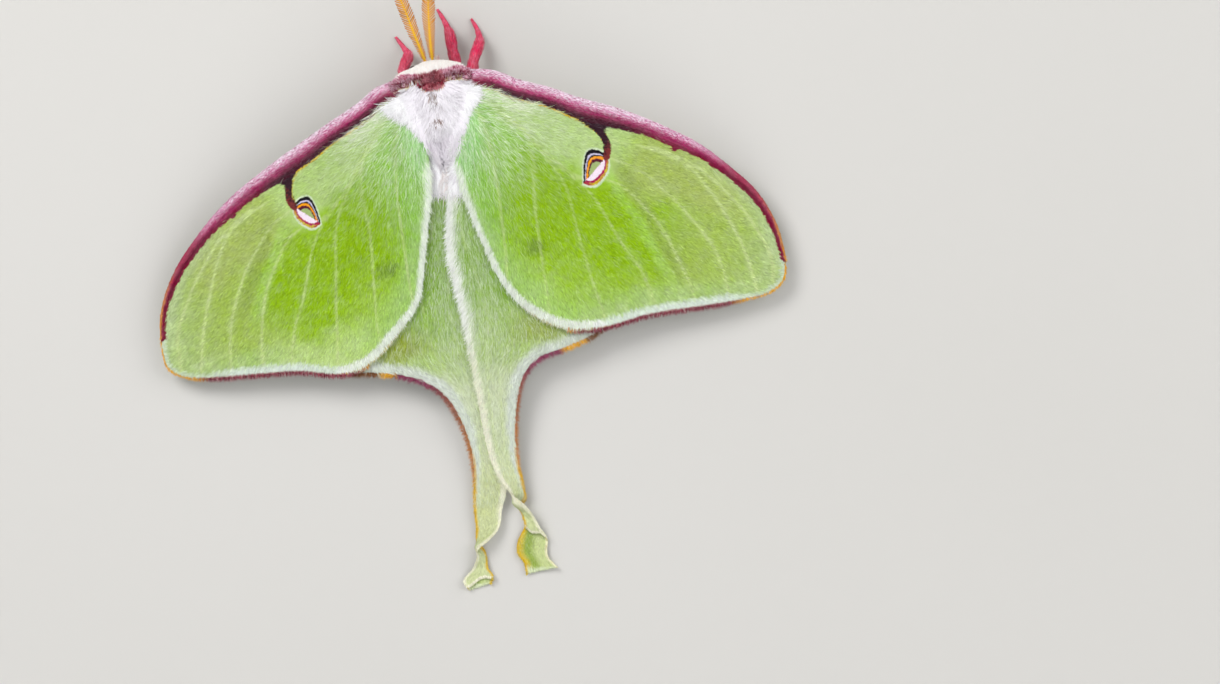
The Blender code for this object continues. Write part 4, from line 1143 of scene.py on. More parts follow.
def clumps(root, size, pull, seed=3):
    """Vectors that draw each hair's tip towards the middle of its lock, and
    each lock's own shade and twist."""
    local = np.random.default_rng(seed)
    n = len(root)
    count = max(4, int(n / max(size, 1)))
    middles = root[local.choice(n, count, replace=False)]
    tree = KDTree(count)
    for i, m in enumerate(middles):
        tree.insert(m, i)
    tree.balance()
    near = np.array([tree.find(r)[1] for r in root])
    shade = local.normal(0.0, 1.0, count)[near]
    twist = local.normal(0.0, 1.0, count)[near]
    return (middles[near] - root) * pull, shade, twist


# ---------------------------------------------------------------------- build
fur_mat = coat_material("moth_fur", 0.66, 0.12, 0.15, 0.10)
scale_mat = coat_material("wing_scales", 0.64, 0.05, 0.16, 0.22)
velvet_mat = coat_material("costa_velvet", 0.70, 0.10, 0.12, 0.25)
leg_mat = coat_material("leg_hair", 0.64, 0.12, 0.18, 0.25)

fore_mat = wing_material("forewing_skin", fore_marks, FORE_FIELDS)
hind_mat = wing_material("hindwing_skin", hind_marks, HIND_FIELDS)

FORE = {side: forewing(side) for side in ("left", "right")}
HIND = {side: hindwing(side) for side in ("left", "right")}


def sampled(sheet, where, shift=None):
    return {k: sheet.at(v, where) for k, v in sheet.f.items()}


def scale_coat(name, sheet, marks, count, side, size, weight, wide, segs, fall_off, slot, material, pale=0.5, strand=(0.62, 0.80, 0.26)):
    """Short scales over one face of a wing."""
    where = sheet.draw(int(count * FULL), weight)
    up = sheet.at(sheet.n, where) * side
    up = unit(up)
    spot = sheet.at(sheet.p, where) + up * sheet.at(sheet.half, where)[:, None]
    f = sampled(sheet, where)
    along = unit(sheet.at(sheet.lie, where))
    length = sheet.at(size, where) * rng.uniform(0.72, 1.25, len(spot))
    length = np.minimum(length, 0.22 + fall_off(f) * 1.1)
    along = swerve(along, up, 0.20)
    tint = marks(Arrays(spot), f)
    if side < 0:
        tint = tint * 0.82 + np.array(lin(214, 222, 186)) * 0.18
    calm = 1.0 - smooth(3.4, 2.4, np.hypot(f["p"], f["v"]))
    if material is velvet_mat:
        across = f["front"] / band_width(Arrays(None), f["s"])
        front = smooth(0.64, 0.10, across) * smooth(9.2, 6.8, f["s"])
        fleck = (rng.random(len(spot)) > 0.50) * rng.uniform(0.5, 1.0, len(spot)) * np.maximum(front, 0.04 * smooth(9.0, 6.5, f["s"]))
        flush = (rng.random(len(spot)) > 0.50) * rng.uniform(0.4, 1.0, len(spot)) * front
        tint = tint * (1 - flush[:, None]) + np.array(lin(162, 50, 104)) * flush[:, None]
        tint = tint * (1 - fleck[:, None]) + np.array(lin(250, 236, 246)) * fleck[:, None]
    tint = vary(tint, 0.05 + 0.05 * calm, pale * calm, 0.45 * calm, strand)
    root = spot - along * (length * 0.45)[:, None]
    width = np.clip(length * wide, 0.05, 0.13) * rng.uniform(0.8, 1.2, len(spot))
    grow(name, material, slot, root, along, up, length, width, tint, sheet.at(sheet.uv, where), segs=segs,
         rise=rng.uniform(0.03, 0.16, len(spot)), fall=-0.05, roll=0.30, sway=0.08)


for side, sheet in FORE.items():
    f = sheet.f
    obj = membrane(f"forewing_{side}_membrane", sheet, FORE_FIELDS)
    piece(obj, fore_mat, "forewing", f"forewing_{side}")
    width = band_width(Arrays(None), f["s"])
    near_spot = np.hypot(f["p"], f["v"] * 1.1) < 3.0
    near_line = (f["stalk"] < 0.9) & (f["v"] > -0.5)
    size = np.where(near_spot, 0.20, np.where(near_line, 0.32, 0.72))
    size = np.where(f["front"] < width * 1.25, 0.55, size)
    web = (f["front"] > width * 1.0).astype(float)
    weight = np.where(near_spot, 9.0, np.where(near_line, 3.0, 1.0)) * web
    edge = lambda q: np.minimum(q["outer"], q["inner"] + 0.25)
    scale_coat(f"forewing_{side}_scales", sheet, fore_marks, 46000, 1, size, weight, 0.17, 2, edge, "forewing", scale_mat)
    scale_coat(f"forewing_{side}_scales_under", sheet, fore_marks, 18000, -1, size * 1.15, np.where(near_spot, 4.0, 1.0) * web,
               0.20, 1, edge, "forewing", scale_mat)
    # velvet of the costal rib, all round it
    for face, amount in ((1, 20000), (-1, 5000)):
        weight = (f["front"] < width * 1.05).astype(float)
        scale_coat(f"forewing_{side}_costa" + ("" if face > 0 else "_under"), sheet, fore_marks, amount, face,
                   np.full(width.shape, 0.58), weight, 0.21, 2, lambda q: q["front"] * 0 + 1.0, "forewing", velvet_mat, 0.0)

def gold_edge(side, sheet):
    """Short golden scales, like teeth, behind the costal band and down the stalk."""
    f = sheet.f
    width = band_width(Arrays(None), f["s"])
    weight = smooth(0.16, 0.03, np.abs(f["front"] - width - 0.04)) * smooth(5.9, 5.2, f["s"]) * (f["s"] > 0.9) * (f["stalk"] > 1.3)
    weight = weight + 0.35 * smooth(0.12, 0.02, np.abs(f["stalk"] - 0.56)) * (f["v"] > 1.6) * (f["front"] > width + 0.3)
    where = sheet.draw(int(3200 * FULL), weight)
    q = sampled(sheet, where)
    wide = 0.46 + 0.10 * smooth(1.0, 4.5, q["v"])
    fine = np.abs(q["front"] - band_width(Arrays(None), q["s"]) - 0.04) < 0.07
    fine &= (q["x"] < 21.8) & (q["x"] > -19.8)
    fine |= (np.abs(q["stalk"] - wide) < 0.05) & (q["front"] > band_width(Arrays(None), q["s"]) + 0.7) & (rng.random(len(wide)) > 0.55) & (q["v"] > 1.3)
    where = tuple(c[fine] for c in where)
    up = unit(sheet.at(sheet.n, where))
    spot = sheet.at(sheet.p, where) + up * (sheet.at(sheet.half, where) + 0.05)[:, None]
    along = unit(unit(sheet.at(sheet.across, where)) + 0.6 * unit(sheet.at(sheet.lie, where)))
    along = swerve(along, up, 0.3)
    n = len(spot)
    tint = vary(np.tile(lin(214, 184, 70), (n, 1)), 0.14)
    grow(f"forewing_{side}_gold", scale_mat, "forewing", spot - along * 0.1, along, up, rng.uniform(0.16, 0.30, n), 0.075, tint,
         sheet.at(sheet.uv, where), segs=2, rise=0.16, fall=-0.05, roll=0.3)


for side, sheet in FORE.items():
    gold_edge(side, sheet)

for side, sheet in HIND.items():
    f = sheet.f
    obj = membrane(f"hindwing_{side}_membrane", sheet, HIND_FIELDS)
    piece(obj, hind_mat, "hindwing", f"hindwing_{side}")
    size = np.where(f["y"] > 56, 0.40, 0.75)
    weight = np.where(f["y"] > 56, 1.8, 1.0)
    cover = FORE[side]
    fence = np.vstack([cover.rear, cover.front[::-1]])
    hidden = line_distance(sheet.p, cover.rear[: 7 * 12 + 1]) * np.where(
        (np.abs(f["x"]) > np.interp(f["y"], cover.rear[: 7 * 12, 1], np.abs(cover.rear[: 7 * 12, 0]))) & (f["y"] < 34.5), 1, 0)
    weight = weight * np.where(hidden > 1.8, 0.12, 1.0)
    edge = lambda q: np.minimum(q["outer"], q["inner"] + 0.25)
    scale_coat(f"hindwing_{side}_scales", sheet, hind_marks, 30000, 1, size, weight, 0.16, 2, edge, "hindwing", scale_mat, 0.6, (0.74, 0.82, 0.58))
    scale_coat(f"hindwing_{side}_scales_under", sheet, hind_marks, 12000, -1, size * 1.15, np.where(f["y"] > 56, 2.0, 1.0),
               0.20, 1, edge, "hindwing", scale_mat)


# Fringes along the margins, a row of short scales
def fringe(name, sheet, line, inward, colour, reach, slot, count_per_mm=34, spread=0.35, deep=0.24):
    steps = np.linalg.norm(np.diff(line, axis=0), axis=1)
    run = np.concatenate([[0], np.cumsum(steps)])
    n = int(run[-1] * count_per_mm * max(FULL, 0.5))
    u = (np.arange(n) + rng.random(n)) / n * run[-1]
    k = np.clip(np.searchsorted(run, u) - 1, 0, len(steps) - 1)
    a = ((u - run[k]) / np.maximum(steps[k], 1e-9))[:, None]
    p = line[k] * (1 - a) + line[k + 1] * a
    tangent = unit(line[k + 1] - line[k])
    inn = unit(inward[k] * (1 - a) + inward[k + 1] * a)
    up = unit(np.cross(tangent, inn))
    up = np.where(up[:, 2:] < 0, -up, up)
    out = unit(-inn + tangent * spread + rng.normal(0, 0.12, (n, 3)))
    share = u / run[-1]
    length = reach(share) * rng.uniform(0.7, 1.3, n)
    root = p + inn * deep + up * rng.uniform(-0.05, 0.06, n)[:, None]
    tint = vary(colour(share, p), 0.12)
    uv = np.stack([0.02 + 0.96 * share, 0.5 + rng.uniform(-0.4, 0.4, n)], axis=1)
    grow(name, scale_mat, slot, root, out, up, length, 0.075, tint, uv, segs=2, rise=0.0, fall=-0.03, roll=0.5, sway=0.1)


def ramp(x, stops):
    """A colour that runs through the stops (place, colour)."""
    xs = [q[0] for q in stops]
    cs = np.array([q[1] for q in stops])
    return np.stack([np.interp(x, xs, cs[:, c]) for c in range(3)], axis=-1)


for side, sheet in FORE.items():
    start = int(6.2 * 12)
    line = np.vstack([sheet.p[start:, -1], sheet.p[-1, ::-1][::6], sheet.p[::-1, 0][: int(1.6 * 12)]])
    inward = np.vstack([-sheet.across[start:, -1], -sheet.along[-1, ::-1][::6], sheet.across[::-1, 0][: int(1.6 * 12)]])
    dark, gold, rose = FRINGE_MAROON, FRINGE_GOLD, FRINGE_ROSE
    stops = ((0, gold), (0.05, dark), (0.60, dark), (0.66, gold), (1, gold))

    def tone(share, p, stops=stops, rose=rose):
        c = ramp(share, stops)
        blush = (rng.random(len(share)) > 0.6) * smooth(0.62, 0.58, share) * 0.7
        return c * (1 - blush[:, None]) + np.array(rose) * blush[:, None]
    fringe(f"forewing_{side}_fringe", sheet, line, inward, tone, lambda q: 0.92 - 0.34 * smooth(0.55, 0.7, q), "forewing", 52, deep=0.38)
    stop = int(7.4 * 12)
    line, inward = sheet.p[14:stop, -1], -sheet.across[14:stop, -1]
    tone = lambda share, p: ramp(share, ((0, WHITE_EDGE), (0.62, WHITE_EDGE), (0.74, lin(214, 186, 90)), (1, FRINGE_GOLD)))
    fringe(f"forewing_{side}_inner_fringe", sheet, line, inward, tone, lambda q: 0.42 - 0.18 * q, "forewing", spread=1.6)

STOPS = {"left": (6.3, 6.9, 8.0, 9.2, 12.0), "right": (5.4, 6.2, 7.3, 8.3, 10.6)}
for side, sheet in HIND.items():
    n = len(sheet.s)
    start = int(2.0 * 9)
    line, inward = sheet.p[start:, -1], -sheet.across[start:, -1]
    a, b, c, d, e = STOPS[side]
    length = np.concatenate([[0], np.cumsum(np.linalg.norm(np.diff(line, axis=0), axis=1))])
    share_of = lambda st: np.interp(st, sheet.s[start:], length / length[-1])
    brown, plum, rust, amber = lin(134, 90, 58), lin(146, 72, 98), lin(158, 100, 84), lin(206, 150, 96)
    stops = ((share_of(a) - 0.01, brown), (share_of(a), FRINGE_GOLD), (share_of(b) - 0.015, FRINGE_GOLD), (share_of(b), plum),
             (share_of(c), plum), (share_of(d), rust), (share_of(e), amber), (share_of(e) + 0.05, lin(224, 184, 52)), (1.0, lin(216, 190, 40)))
    tone = lambda share, p, stops=stops: ramp(share, stops)
    fringe(f"hindwing_{side}_fringe", sheet, line, inward, tone, lambda q: 0.95 - 0.45 * smooth(0.7, 0.85, q), "hindwing", 52, spread=0.8, deep=0.34)
    line, inward = sheet.p[:, 0], sheet.across[:, 0]
    stops = ((0, WHITE_EDGE), (0.35, CREAM_EDGE), (0.7, CREAM_EDGE), (0.85, lin(222, 214, 150)), (1, SPOON_GOLD))
    tone = lambda share, p, stops=stops: ramp(share, stops)
    fringe(f"hindwing_{side}_inner_fringe", sheet, line, inward, tone, lambda q: 0.40 - 0.20 * smooth(0.6, 0.8, q), "hindwing", spread=1.2)


# Long soft hairs over the wings' bases, the inner margins and the hindwings
def long_hairs(name, sheet, count, weight, size, tint, slot, lie=None, rise=0.12, wide=0.07, clump=7, pull=0.35, sway=0.12, fix=None,
               spread=0.16, segs=3, shade_by=0.05):
    where = sheet.draw(int(count * FULL), weight)
    up = unit(sheet.at(sheet.n, where))
    spot = sheet.at(sheet.p, where) + up * (sheet.at(sheet.half, where) + 0.03)[:, None]
    along = unit(sheet.at(sheet.lie if lie is None else lie, where))
    along = unit(along - up * np.sum(along * up, axis=1, keepdims=True))
    along = swerve(along, up, spread)
    f = sampled(sheet, where)
    n = len(spot)
    length = sheet.at(size, where) * rng.uniform(0.6, 1.2, n)
    root = spot - along * (length * 0.4)[:, None]
    lean, shade, twist = clumps(root, clump, pull)
    along = turned(along, up, twist * 0.5 * spread)
    colour = vary(tint(Arrays(spot), f), 0.05) * np.exp(shade * shade_by)[:, None]
    grow(name, fur_mat, slot, root, along, up, length, wide * rng.uniform(0.7, 1.2, n), colour, sheet.at(sheet.uv, where),
         segs=segs, rise=rise, fall=-rise * 0.7, roll=0.4, sway=sway, lean=lean, fix=fix)


def white_edge(x, y):
    """How far out the white fur reaches over the wings' bases."""
    reach = np.where(x > 0, np.interp(y, (-3, -1, 1.3, 2.6, 4.5, 7.3, 10.0), (9.0, 8.8, 7.4, 5.2, 3.4, 2.5, 2.0)),
                     np.interp(y, (-3, -1, 1.3, 2.6, 4.5, 7.3, 10.0), (8.0, 7.6, 6.2, 4.4, 3.0, 1.9, 1.6)))
    return np.abs(x) - reach


for side, sheet in FORE.items():
    f = sheet.f
    x, y = f["x"], f["y"]
    reach = np.hypot(x - sheet.sign * 3, y - 3)
    width = band_width(Arrays(None), f["s"])
    web = (f["front"] > width * 0.95).astype(float)
    weight = web * (smooth(24.0, 5.0, reach) + 0.05) + 1.5 * web * smooth(1.0, 0.5, f["inner"]) * (f["s"] < 6.8)
    weight = weight * (np.hypot(f["p"], f["v"]) > 3.2) * (f["stalk"] > 0.8)
    weight = weight + 1.6 * web * smooth(2.2, 1.2, f["front"] - width) * smooth(0.25, 0.7, f["front"] - width) * smooth(15.0, 8.0, np.abs(x))
    size = 1.0 + 0.9 * smooth(18.0, 6.0, reach)

    def tone(k, f, sheet=sheet):
        c = fore_marks(k, f)
        r = np.hypot(f["x"] - sheet.sign * 3, f["y"] - 3)
        strand = rng.random(len(r)) ** 2.2
        pale = 0.25 + 0.75 * smooth(17.0, 5.0, r) + 0.6 * smooth(1.3, 0.6, f["inner"])
        c = k.mix(c, lin(232, 244, 216), np.clip(pale * strand, 0, 1))
        behind = smooth(2.2, 1.0, f["front"] - band_width(k, f["s"])) * smooth(16.0, 10.0, np.abs(f["x"]))
        return k.mix(c, lin(240, 240, 230), behind * 0.8 * strand ** 0.4)
    long_hairs(f"forewing_{side}_long_hair", sheet, 10000, weight, size, tone, "forewing", sway=0.16)
    # white fur of the body carried over the base
    hub = np.array([sheet.sign * 0.8, -2.0])
    out = np.dstack([x - hub[0], y - hub[1], np.zeros_like(x)])
    ray = np.arctan2(y + 2, np.abs(x)) + 0.3 * np.sin(np.hypot(x, y) * 1.3)
    out_by = white_edge(x, y) + 2.5 + 0.4 * (sheet.sign < 0) + 0.8 * np.sin(12.4 * ray) + 0.6 * np.sin(31.0 * ray)
    near = (smooth(0.6, -0.6, out_by) + 0.16 * smooth(1.7, 0.2, out_by)) * (f["front"] > width * 1.04)
    long_hairs(f"forewing_{side}_base_fur", sheet, 7000, near, 2.1 - 0.4 * smooth(0, 6, y) + 0.7 * smooth(-1.0, 0.6, out_by), lambda k, f: np.tile(FUR_WHITE, (len(f["x"]), 1)),
               "fur", lie=out, rise=0.26, wide=0.085, clump=22, pull=0.85, sway=0.2, spread=0.26, segs=4, shade_by=0.10)

for side, sheet in HIND.items():
    f = sheet.f
    x, y = f["x"], f["y"]
    weight = smooth(6.0, 2.0, np.abs(x)) * (y < 57) + 0.25 * (y < 57) + 2.2 * smooth(1.6, 0.6, f["inner"]) * (y < 40)
    cover = FORE[side]
    hidden = (np.abs(x) > np.interp(y, cover.rear[: 7 * 12, 1], np.abs(cover.rear[: 7 * 12, 0])) + 1.2) & (y < 34.0)
    weight = np.where(hidden, 0.02, weight)
    size = 1.6 - 0.8 * smooth(34.0, 48.0, y)

    def tone(k, f):
        c = hind_marks(k, f)
        c = k.mix(c, lin(220, 232, 204), rng.uniform(0.0, 0.7, len(f["x"])))
        return k.mix(c, lin(240, 243, 236), smooth(1.9, 0.5, f["inner"] + rng.uniform(-0.6, 0.4, len(f["x"]))) * smooth(38, 28, f["y"]) * 0.9)
    slanted = unit(sheet.lie - sheet.across * (0.7 * smooth(2.4, 0.4, f["inner"]))[..., None])
    long_hairs(f"hindwing_{side}_long_hair", sheet, 7500, weight, size, tone, "hindwing", lie=slanted, rise=0.14, sway=0.16)
    # white fur between the forewings
    weight = smooth(3.6, 2.4, np.abs(x - 0.4)) * smooth(14.0, 9.5, y)
    back = np.dstack([-0.45 * (x - 0.5) * smooth(13.0, 10.0, y), np.ones_like(x), np.zeros_like(x)])

    def white(k, f):
        c = np.tile(FUR_WHITE, (len(f["x"]), 1))
        return k.mix(c, FUR_GREY, k.step(0.45, 0.75, k.noise(0.9, 31.0)) * 0.7)
    long_hairs(f"hindwing_{side}_base_fur", sheet, 3600, weight, 2.4 + 0 * x, white, "fur", lie=back, rise=0.20, wide=0.085, clump=11,
               pull=0.6, sway=0.2, spread=0.22, segs=4, shade_by=0.06)


# ----------------------------------------------------------------------- body
def ring_grid(sections, count, sides, bulge=None):
    rows = spline(sections, count)
    a = np.linspace(0, 2 * np.pi, sides + 1)
    c, s = np.cos(a), np.sin(a)
    fc, fs = np.sign(c) * np.abs(c) ** 0.94, np.sign(s) * np.abs(s) ** 0.94
    y, cx, cz, w, h = rows.T
    grow_by = np.ones(count) if bulge is None else bulge(y)
    x = cx[:, None] + (w * grow_by)[:, None] * fc
    z = cz[:, None] + (h * grow_by)[:, None] * fs
    return np.dstack([x, np.broadcast_to(y[:, None], x.shape), z]), a


def segments(y):
    """The abdomen's rings, slightly swollen between their joints."""
    return 1.0 + 0.025 * smooth(9.5, 11.0, y) * np.abs(np.sin((y - 9.3) * np.pi / 2.15)) - 0.012 * smooth(9.5, 11.0, y)


def closed_tube(grid):
    """Points and faces of a closed tube from a grid whose last column repeats its first."""
    ni, nj = grid.shape[0], grid.shape[1] - 1
    points = grid[:, :-1].reshape(-1, 3)
    index = np.arange(ni * nj).reshape(ni, nj)
    nxt = np.roll(index, -1, axis=1)
    quads = np.stack([index[:-1], nxt[:-1], nxt[1:], index[1:]], -1).reshape(-1, 4)
    caps, extra = [], []
    for row, flip in ((0, True), (-1, False)):
        middle = len(points) + len(extra)
        extra.append(grid[row, :-1].mean(axis=0))
        a, b = index[row], nxt[row]
        m = np.full(len(a), middle)
        caps.append(np.stack([a, m, b] if not flip else [b, m, a], -1))
    return np.vstack([points, extra]), quads, np.vstack(caps)


def leg_grid(path, thin, count=46, sides=14):
    """A jointed leg: thighs and shins swell, joints pinch, the foot is ringed."""
    pts = spline(path, count)
    axis = unit(np.gradient(pts[:, :3], axis=0))
    u = np.linspace(0, 5, count)
    r = pts[:, 3] * thin
    swell = np.where(u < 3, 1.0 + 0.14 * np.exp(-((u - 2.5) / 0.32) ** 2) - 0.20 * np.exp(-((u - 2.0) / 0.10) ** 2)
                     - 0.20 * np.exp(-((u - 3.0) / 0.08) ** 2),
                     0.86 - 0.14 * np.abs(np.sin((u - 3) * np.pi * 1.5)) ** 6 - 0.25 * smooth(4.6, 5.0, u))
    r = r * swell
    ref = np.tile([0.0, 0.0, 1.0], (count, 1))
    b = unit(np.cross(axis, ref))
    c = np.cross(b, axis)
    a = np.linspace(0, 2 * np.pi, sides + 1)
    grid = pts[:, None, :3] + r[:, None, None] * (b[:, None] * np.cos(a)[None, :, None] + c[:, None] * np.sin(a)[None, :, None])
    return grid, axis, pts


body_grid, body_angles = ring_grid(SKIN, 160, 60, segments)
points, quads, caps = closed_tube(body_grid)
all_points, all_quads, all_tris = [points], [quads], [caps]
leg_parts = {}
for name, path in LEGS.items():
    grid, axis, pts = leg_grid(path, 0.90)
    grid[..., 2] = np.maximum(grid[..., 2], 0.03)
    leg_parts[name] = (grid, axis, pts)
    p, q, c = closed_tube(grid)
    off = sum(len(v) for v in all_points)
    all_points.append(p); all_quads.append(q + off); all_tris.append(c + off)
def ruff_grid(count, sides):
    rows = spline(RUFF, count)
    a = np.linspace(0, 2 * np.pi, sides + 1)
    x, y, z, deep, tall = rows.T
    return np.dstack([np.broadcast_to(x[:, None], (count, sides + 1)), y[:, None] - deep[:, None] * np.cos(a),
                      z[:, None] + tall[:, None] * np.sin(a)]), a


p, q, c = closed_tube(ruff_grid(70, 40)[0])
off = sum(len(v) for v in all_points)
all_points.append(p); all_quads.append(q + off); all_tris.append(c + off)
# two short furry palps below the face
palps = []
for sx in (-0.55, 1.05):
    path = ((sx, -4.3, 5.3, 0.42), (sx * 1.05, -4.9, 5.0, 0.40), (sx * 1.1, -5.35, 4.8, 0.24))
    pts = spline(path, 9)
    axis = unit(np.gradient(pts[:, :3], axis=0))
    b = unit(np.cross(axis, np.tile([0.0, 0.0, 1.0], (9, 1)))); c = np.cross(b, axis)
    a = np.linspace(0, 2 * np.pi, 13)
    grid = pts[:, None, :3] + 0.8 * pts[:, 3][:, None, None] * (b[:, None] * np.cos(a)[None, :, None] + c[:, None] * np.sin(a)[None, :, None])
    palps.append((grid, pts[:, :3]))
    p, q, c = closed_tube(grid)
    off = sum(len(v) for v in all_points)
    all_points.append(p); all_quads.append(q + off); all_tris.append(c + off)

skin = make_mesh("body_skin", np.vstack(all_points), np.vstack(all_tris), np.vstack(all_quads))
mod = skin.modifiers.new("one_skin", "REMESH")
mod.mode = "VOXEL"
mod.voxel_size = 0.15 * MM
soften = skin.modifiers.new("soften", "SMOOTH")
soften.factor, soften.iterations = 0.5, 4
bpy.context.view_layer.update()
fused = bpy.data.meshes.new_from_object(skin.evaluated_get(bpy.context.evaluated_depsgraph_get()))
skin.modifiers.clear()
skin.data = fused
skin.data.shade_smooth()
co = np.empty(len(fused.vertices) * 3, np.float32)
fused.vertices.foreach_get("co", co)
co = co.reshape(-1, 3) / MM - SHIFT
zone = np.zeros((len(co), 3))
body_row = spline(SKIN, 160)
for name, (grid, axis, pts) in leg_parts.items():
    best = np.full(len(co), 9.0)
    for a, b in zip(pts[:, :3], pts[1:, :3]):
        ab = b - a
        t = np.clip((co - a) @ ab / (ab @ ab), 0, 1)
        best = np.minimum(best, np.linalg.norm(co - a - t[:, None] * ab, axis=1))
    zone[:, 0] = np.maximum(zone[:, 0], (best < 0.92))
w = np.interp(co[:, 1], body_row[:, 0], body_row[:, 3]); h = np.interp(co[:, 1], body_row[:, 0], body_row[:, 4])
cz = np.interp(co[:, 1], body_row[:, 0], body_row[:, 2])
inside = (co[:, 0] / np.maximum(w, 0.1)) ** 2 + ((co[:, 2] - cz) / np.maximum(h, 0.1)) ** 2 < 1.12
zone[:, 0] = np.where(inside & (co[:, 1] > -5), 0.0, zone[:, 0])
zone[:, 1] = np.where(co[:, 1] > 9.5, np.abs(np.sin((co[:, 1] - 9.3) * np.pi / 2.15)), 1.0)
set_vector(skin, "zone", zone)
piece(skin, skin_material(), "fur", "head", "thorax", "abdomen", *LEGS)


def wing_top(p):
    """Height of the wings' upper faces near the body, or -1 where there is none."""
    x, y = p[..., 0], p[..., 1]
    out = np.full(x.shape, -1.0)
    for side, sheet in HIND.items():
        line = sheet.front[: 5 * 9]
        inner = np.where(y < 9.0, np.interp(y, (4.2, 9.0), (2.6 * sheet.sign, 1.5 * sheet.sign)), np.interp(y, line[:, 1], line[:, 0]))
        on = (y > 4.2) & (x * sheet.sign > inner * sheet.sign)
        out = np.where(on, np.maximum(out, hind_height(side, x, y) + 0.12), out)
    for sheet in FORE.values():
        k = 8 * 12
        d = line_distance(p, sheet.front[:k:3])
        s = np.clip((np.abs(x) - 3.0) / 3.8, 0, 12)
        w = outline_width(s)
        deep = (COSTA_THICK + (COSTA_TIP_THICK - COSTA_THICK) * smooth(0, 13, s)) / 2 * 0.8 * (0.5 + 0.5 * smooth(0.2, 1.4, s))
        q = np.clip(d / w, 0, 1)
        half = np.maximum(deep * np.sqrt(np.clip(1 - (2 * q - 1) ** 2, 0, 1)), 0.10)
        front_y = np.interp(np.abs(x), np.abs(sheet.front[:k, 0]), sheet.front[:k, 1])
        rear = np.where(y < 9.8, np.interp(y, (-2.9, 9.8), (3.0, abs(sheet.rear[0, 0]))),
                        np.interp(y, sheet.rear[:k, 1], np.abs(sheet.rear[:k, 0])))
        inward = np.clip((rear - x * sheet.sign) / 1.6, 0, 1)        # eases in from the body
        on = (inward < 1) & (y > front_y - 0.05) & (y < 30)
        out = np.where(on, np.maximum(out, fore_height(x, y) + half - 0.9 * smooth(0, 1, inward) - 0.45 * smooth(1.3, 0.1, s)), out)
    return out


def over_wings(v):
    """Hairs of the back lie over the wings and never pass through."""
    top = wing_top(v)
    lift = 0.03 + 0.25 * rng.random(len(v))[:, None]
    rise = np.where(top > 0, np.maximum(top + lift - v[..., 2], 0.0), 0.0)
    v = v.copy()
    v[..., 2] += rise
    keep = rise.max(axis=1) < 1.5
    tips = v[:, 2:, :2].reshape(-1, 2)
    near = np.full(len(tips), 9.0)
    for sheet in FORE.values():
        near = np.minimum(near, line_distance(tips, sheet.front[: 5 * 12 : 3]))
    keep &= ~((near < 2.15) & (np.abs(tips[:, 0]) > 4.3)).reshape(len(v), -1).any(axis=1)
    v[~keep] = v[~keep][:, :1] + (v[~keep] - v[~keep][:, :1]) * 0.02
    v[~keep, :, 2] -= rise[~keep]
    return v


def under_wings(v):
    top = wing_top(v)
    v = v.copy()
    limit = np.minimum(fore_height(v[..., 0], v[..., 1]) - 0.9, 9.3)
    v[..., 2] = np.where(top > 0, np.minimum(v[..., 2], limit), v[..., 2])
    v[..., 2] = np.maximum(v[..., 2], 0.02)
    return v


bx, by, bz = (body_grid[..., c] for c in range(3))
body = Sheet(body_grid, np.zeros(bx.shape), {"x": bx, "y": by, "z": bz}, np.zeros_like(body_grid), closed=True)
if body.n[60, 15, 2] < 0:
    body.turn()
side_way = np.sign(bx - 0.3) * smooth(0.1, 3.0, np.abs(bx - 0.3))
flare = side_way * (2.3 * smooth(6.0, -1.0, by) + 0.12)
flow = np.dstack([flare, np.ones_like(bx), -0.10 * np.ones_like(bx)])
face = smooth(-3.0, -4.2, by) * smooth(7.2, 5.8, bz)
flow = flow + np.dstack([0 * bx, -1.2 * face, -1.6 * face])
body.lie = flow
body.uv = np.dstack([np.broadcast_to(0.02 + 0.96 * body_angles / (2 * np.pi), bx.shape), 0.02 + 0.96 * (by + 5.0) / 30.0])
body.finish()

ruff_points, ruff_angles = ruff_grid(70, 40)
rx, ry, rz = (ruff_points[..., c] for c in range(3))
ruff = Sheet(ruff_points, np.zeros(rx.shape), {"x": rx, "y": ry, "z": rz}, np.zeros_like(ruff_points), closed=True)
if ruff.n[35, 10, 2] < 0:
    ruff.turn()
ruff.uv = np.dstack([0.02 + 0.96 * np.broadcast_to(np.linspace(0, 1, 70)[:, None], rx.shape),
                     np.broadcast_to(0.02 + 0.96 * ruff_angles / (2 * np.pi), rx.shape)])
outwards = np.sign(rx - 0.3) * smooth(0.2, 4.0, np.abs(rx - 0.3))
at_ends = np.maximum(smooth(4.2, 5.2, rx), smooth(-3.4, -4.3, rx))
ruff.lie = np.dstack([(0.45 + 2.2 * at_ends) * outwards, -np.ones_like(rx) + 1.2 * at_ends, -0.3 * np.ones_like(rx)])
ruff.finish()


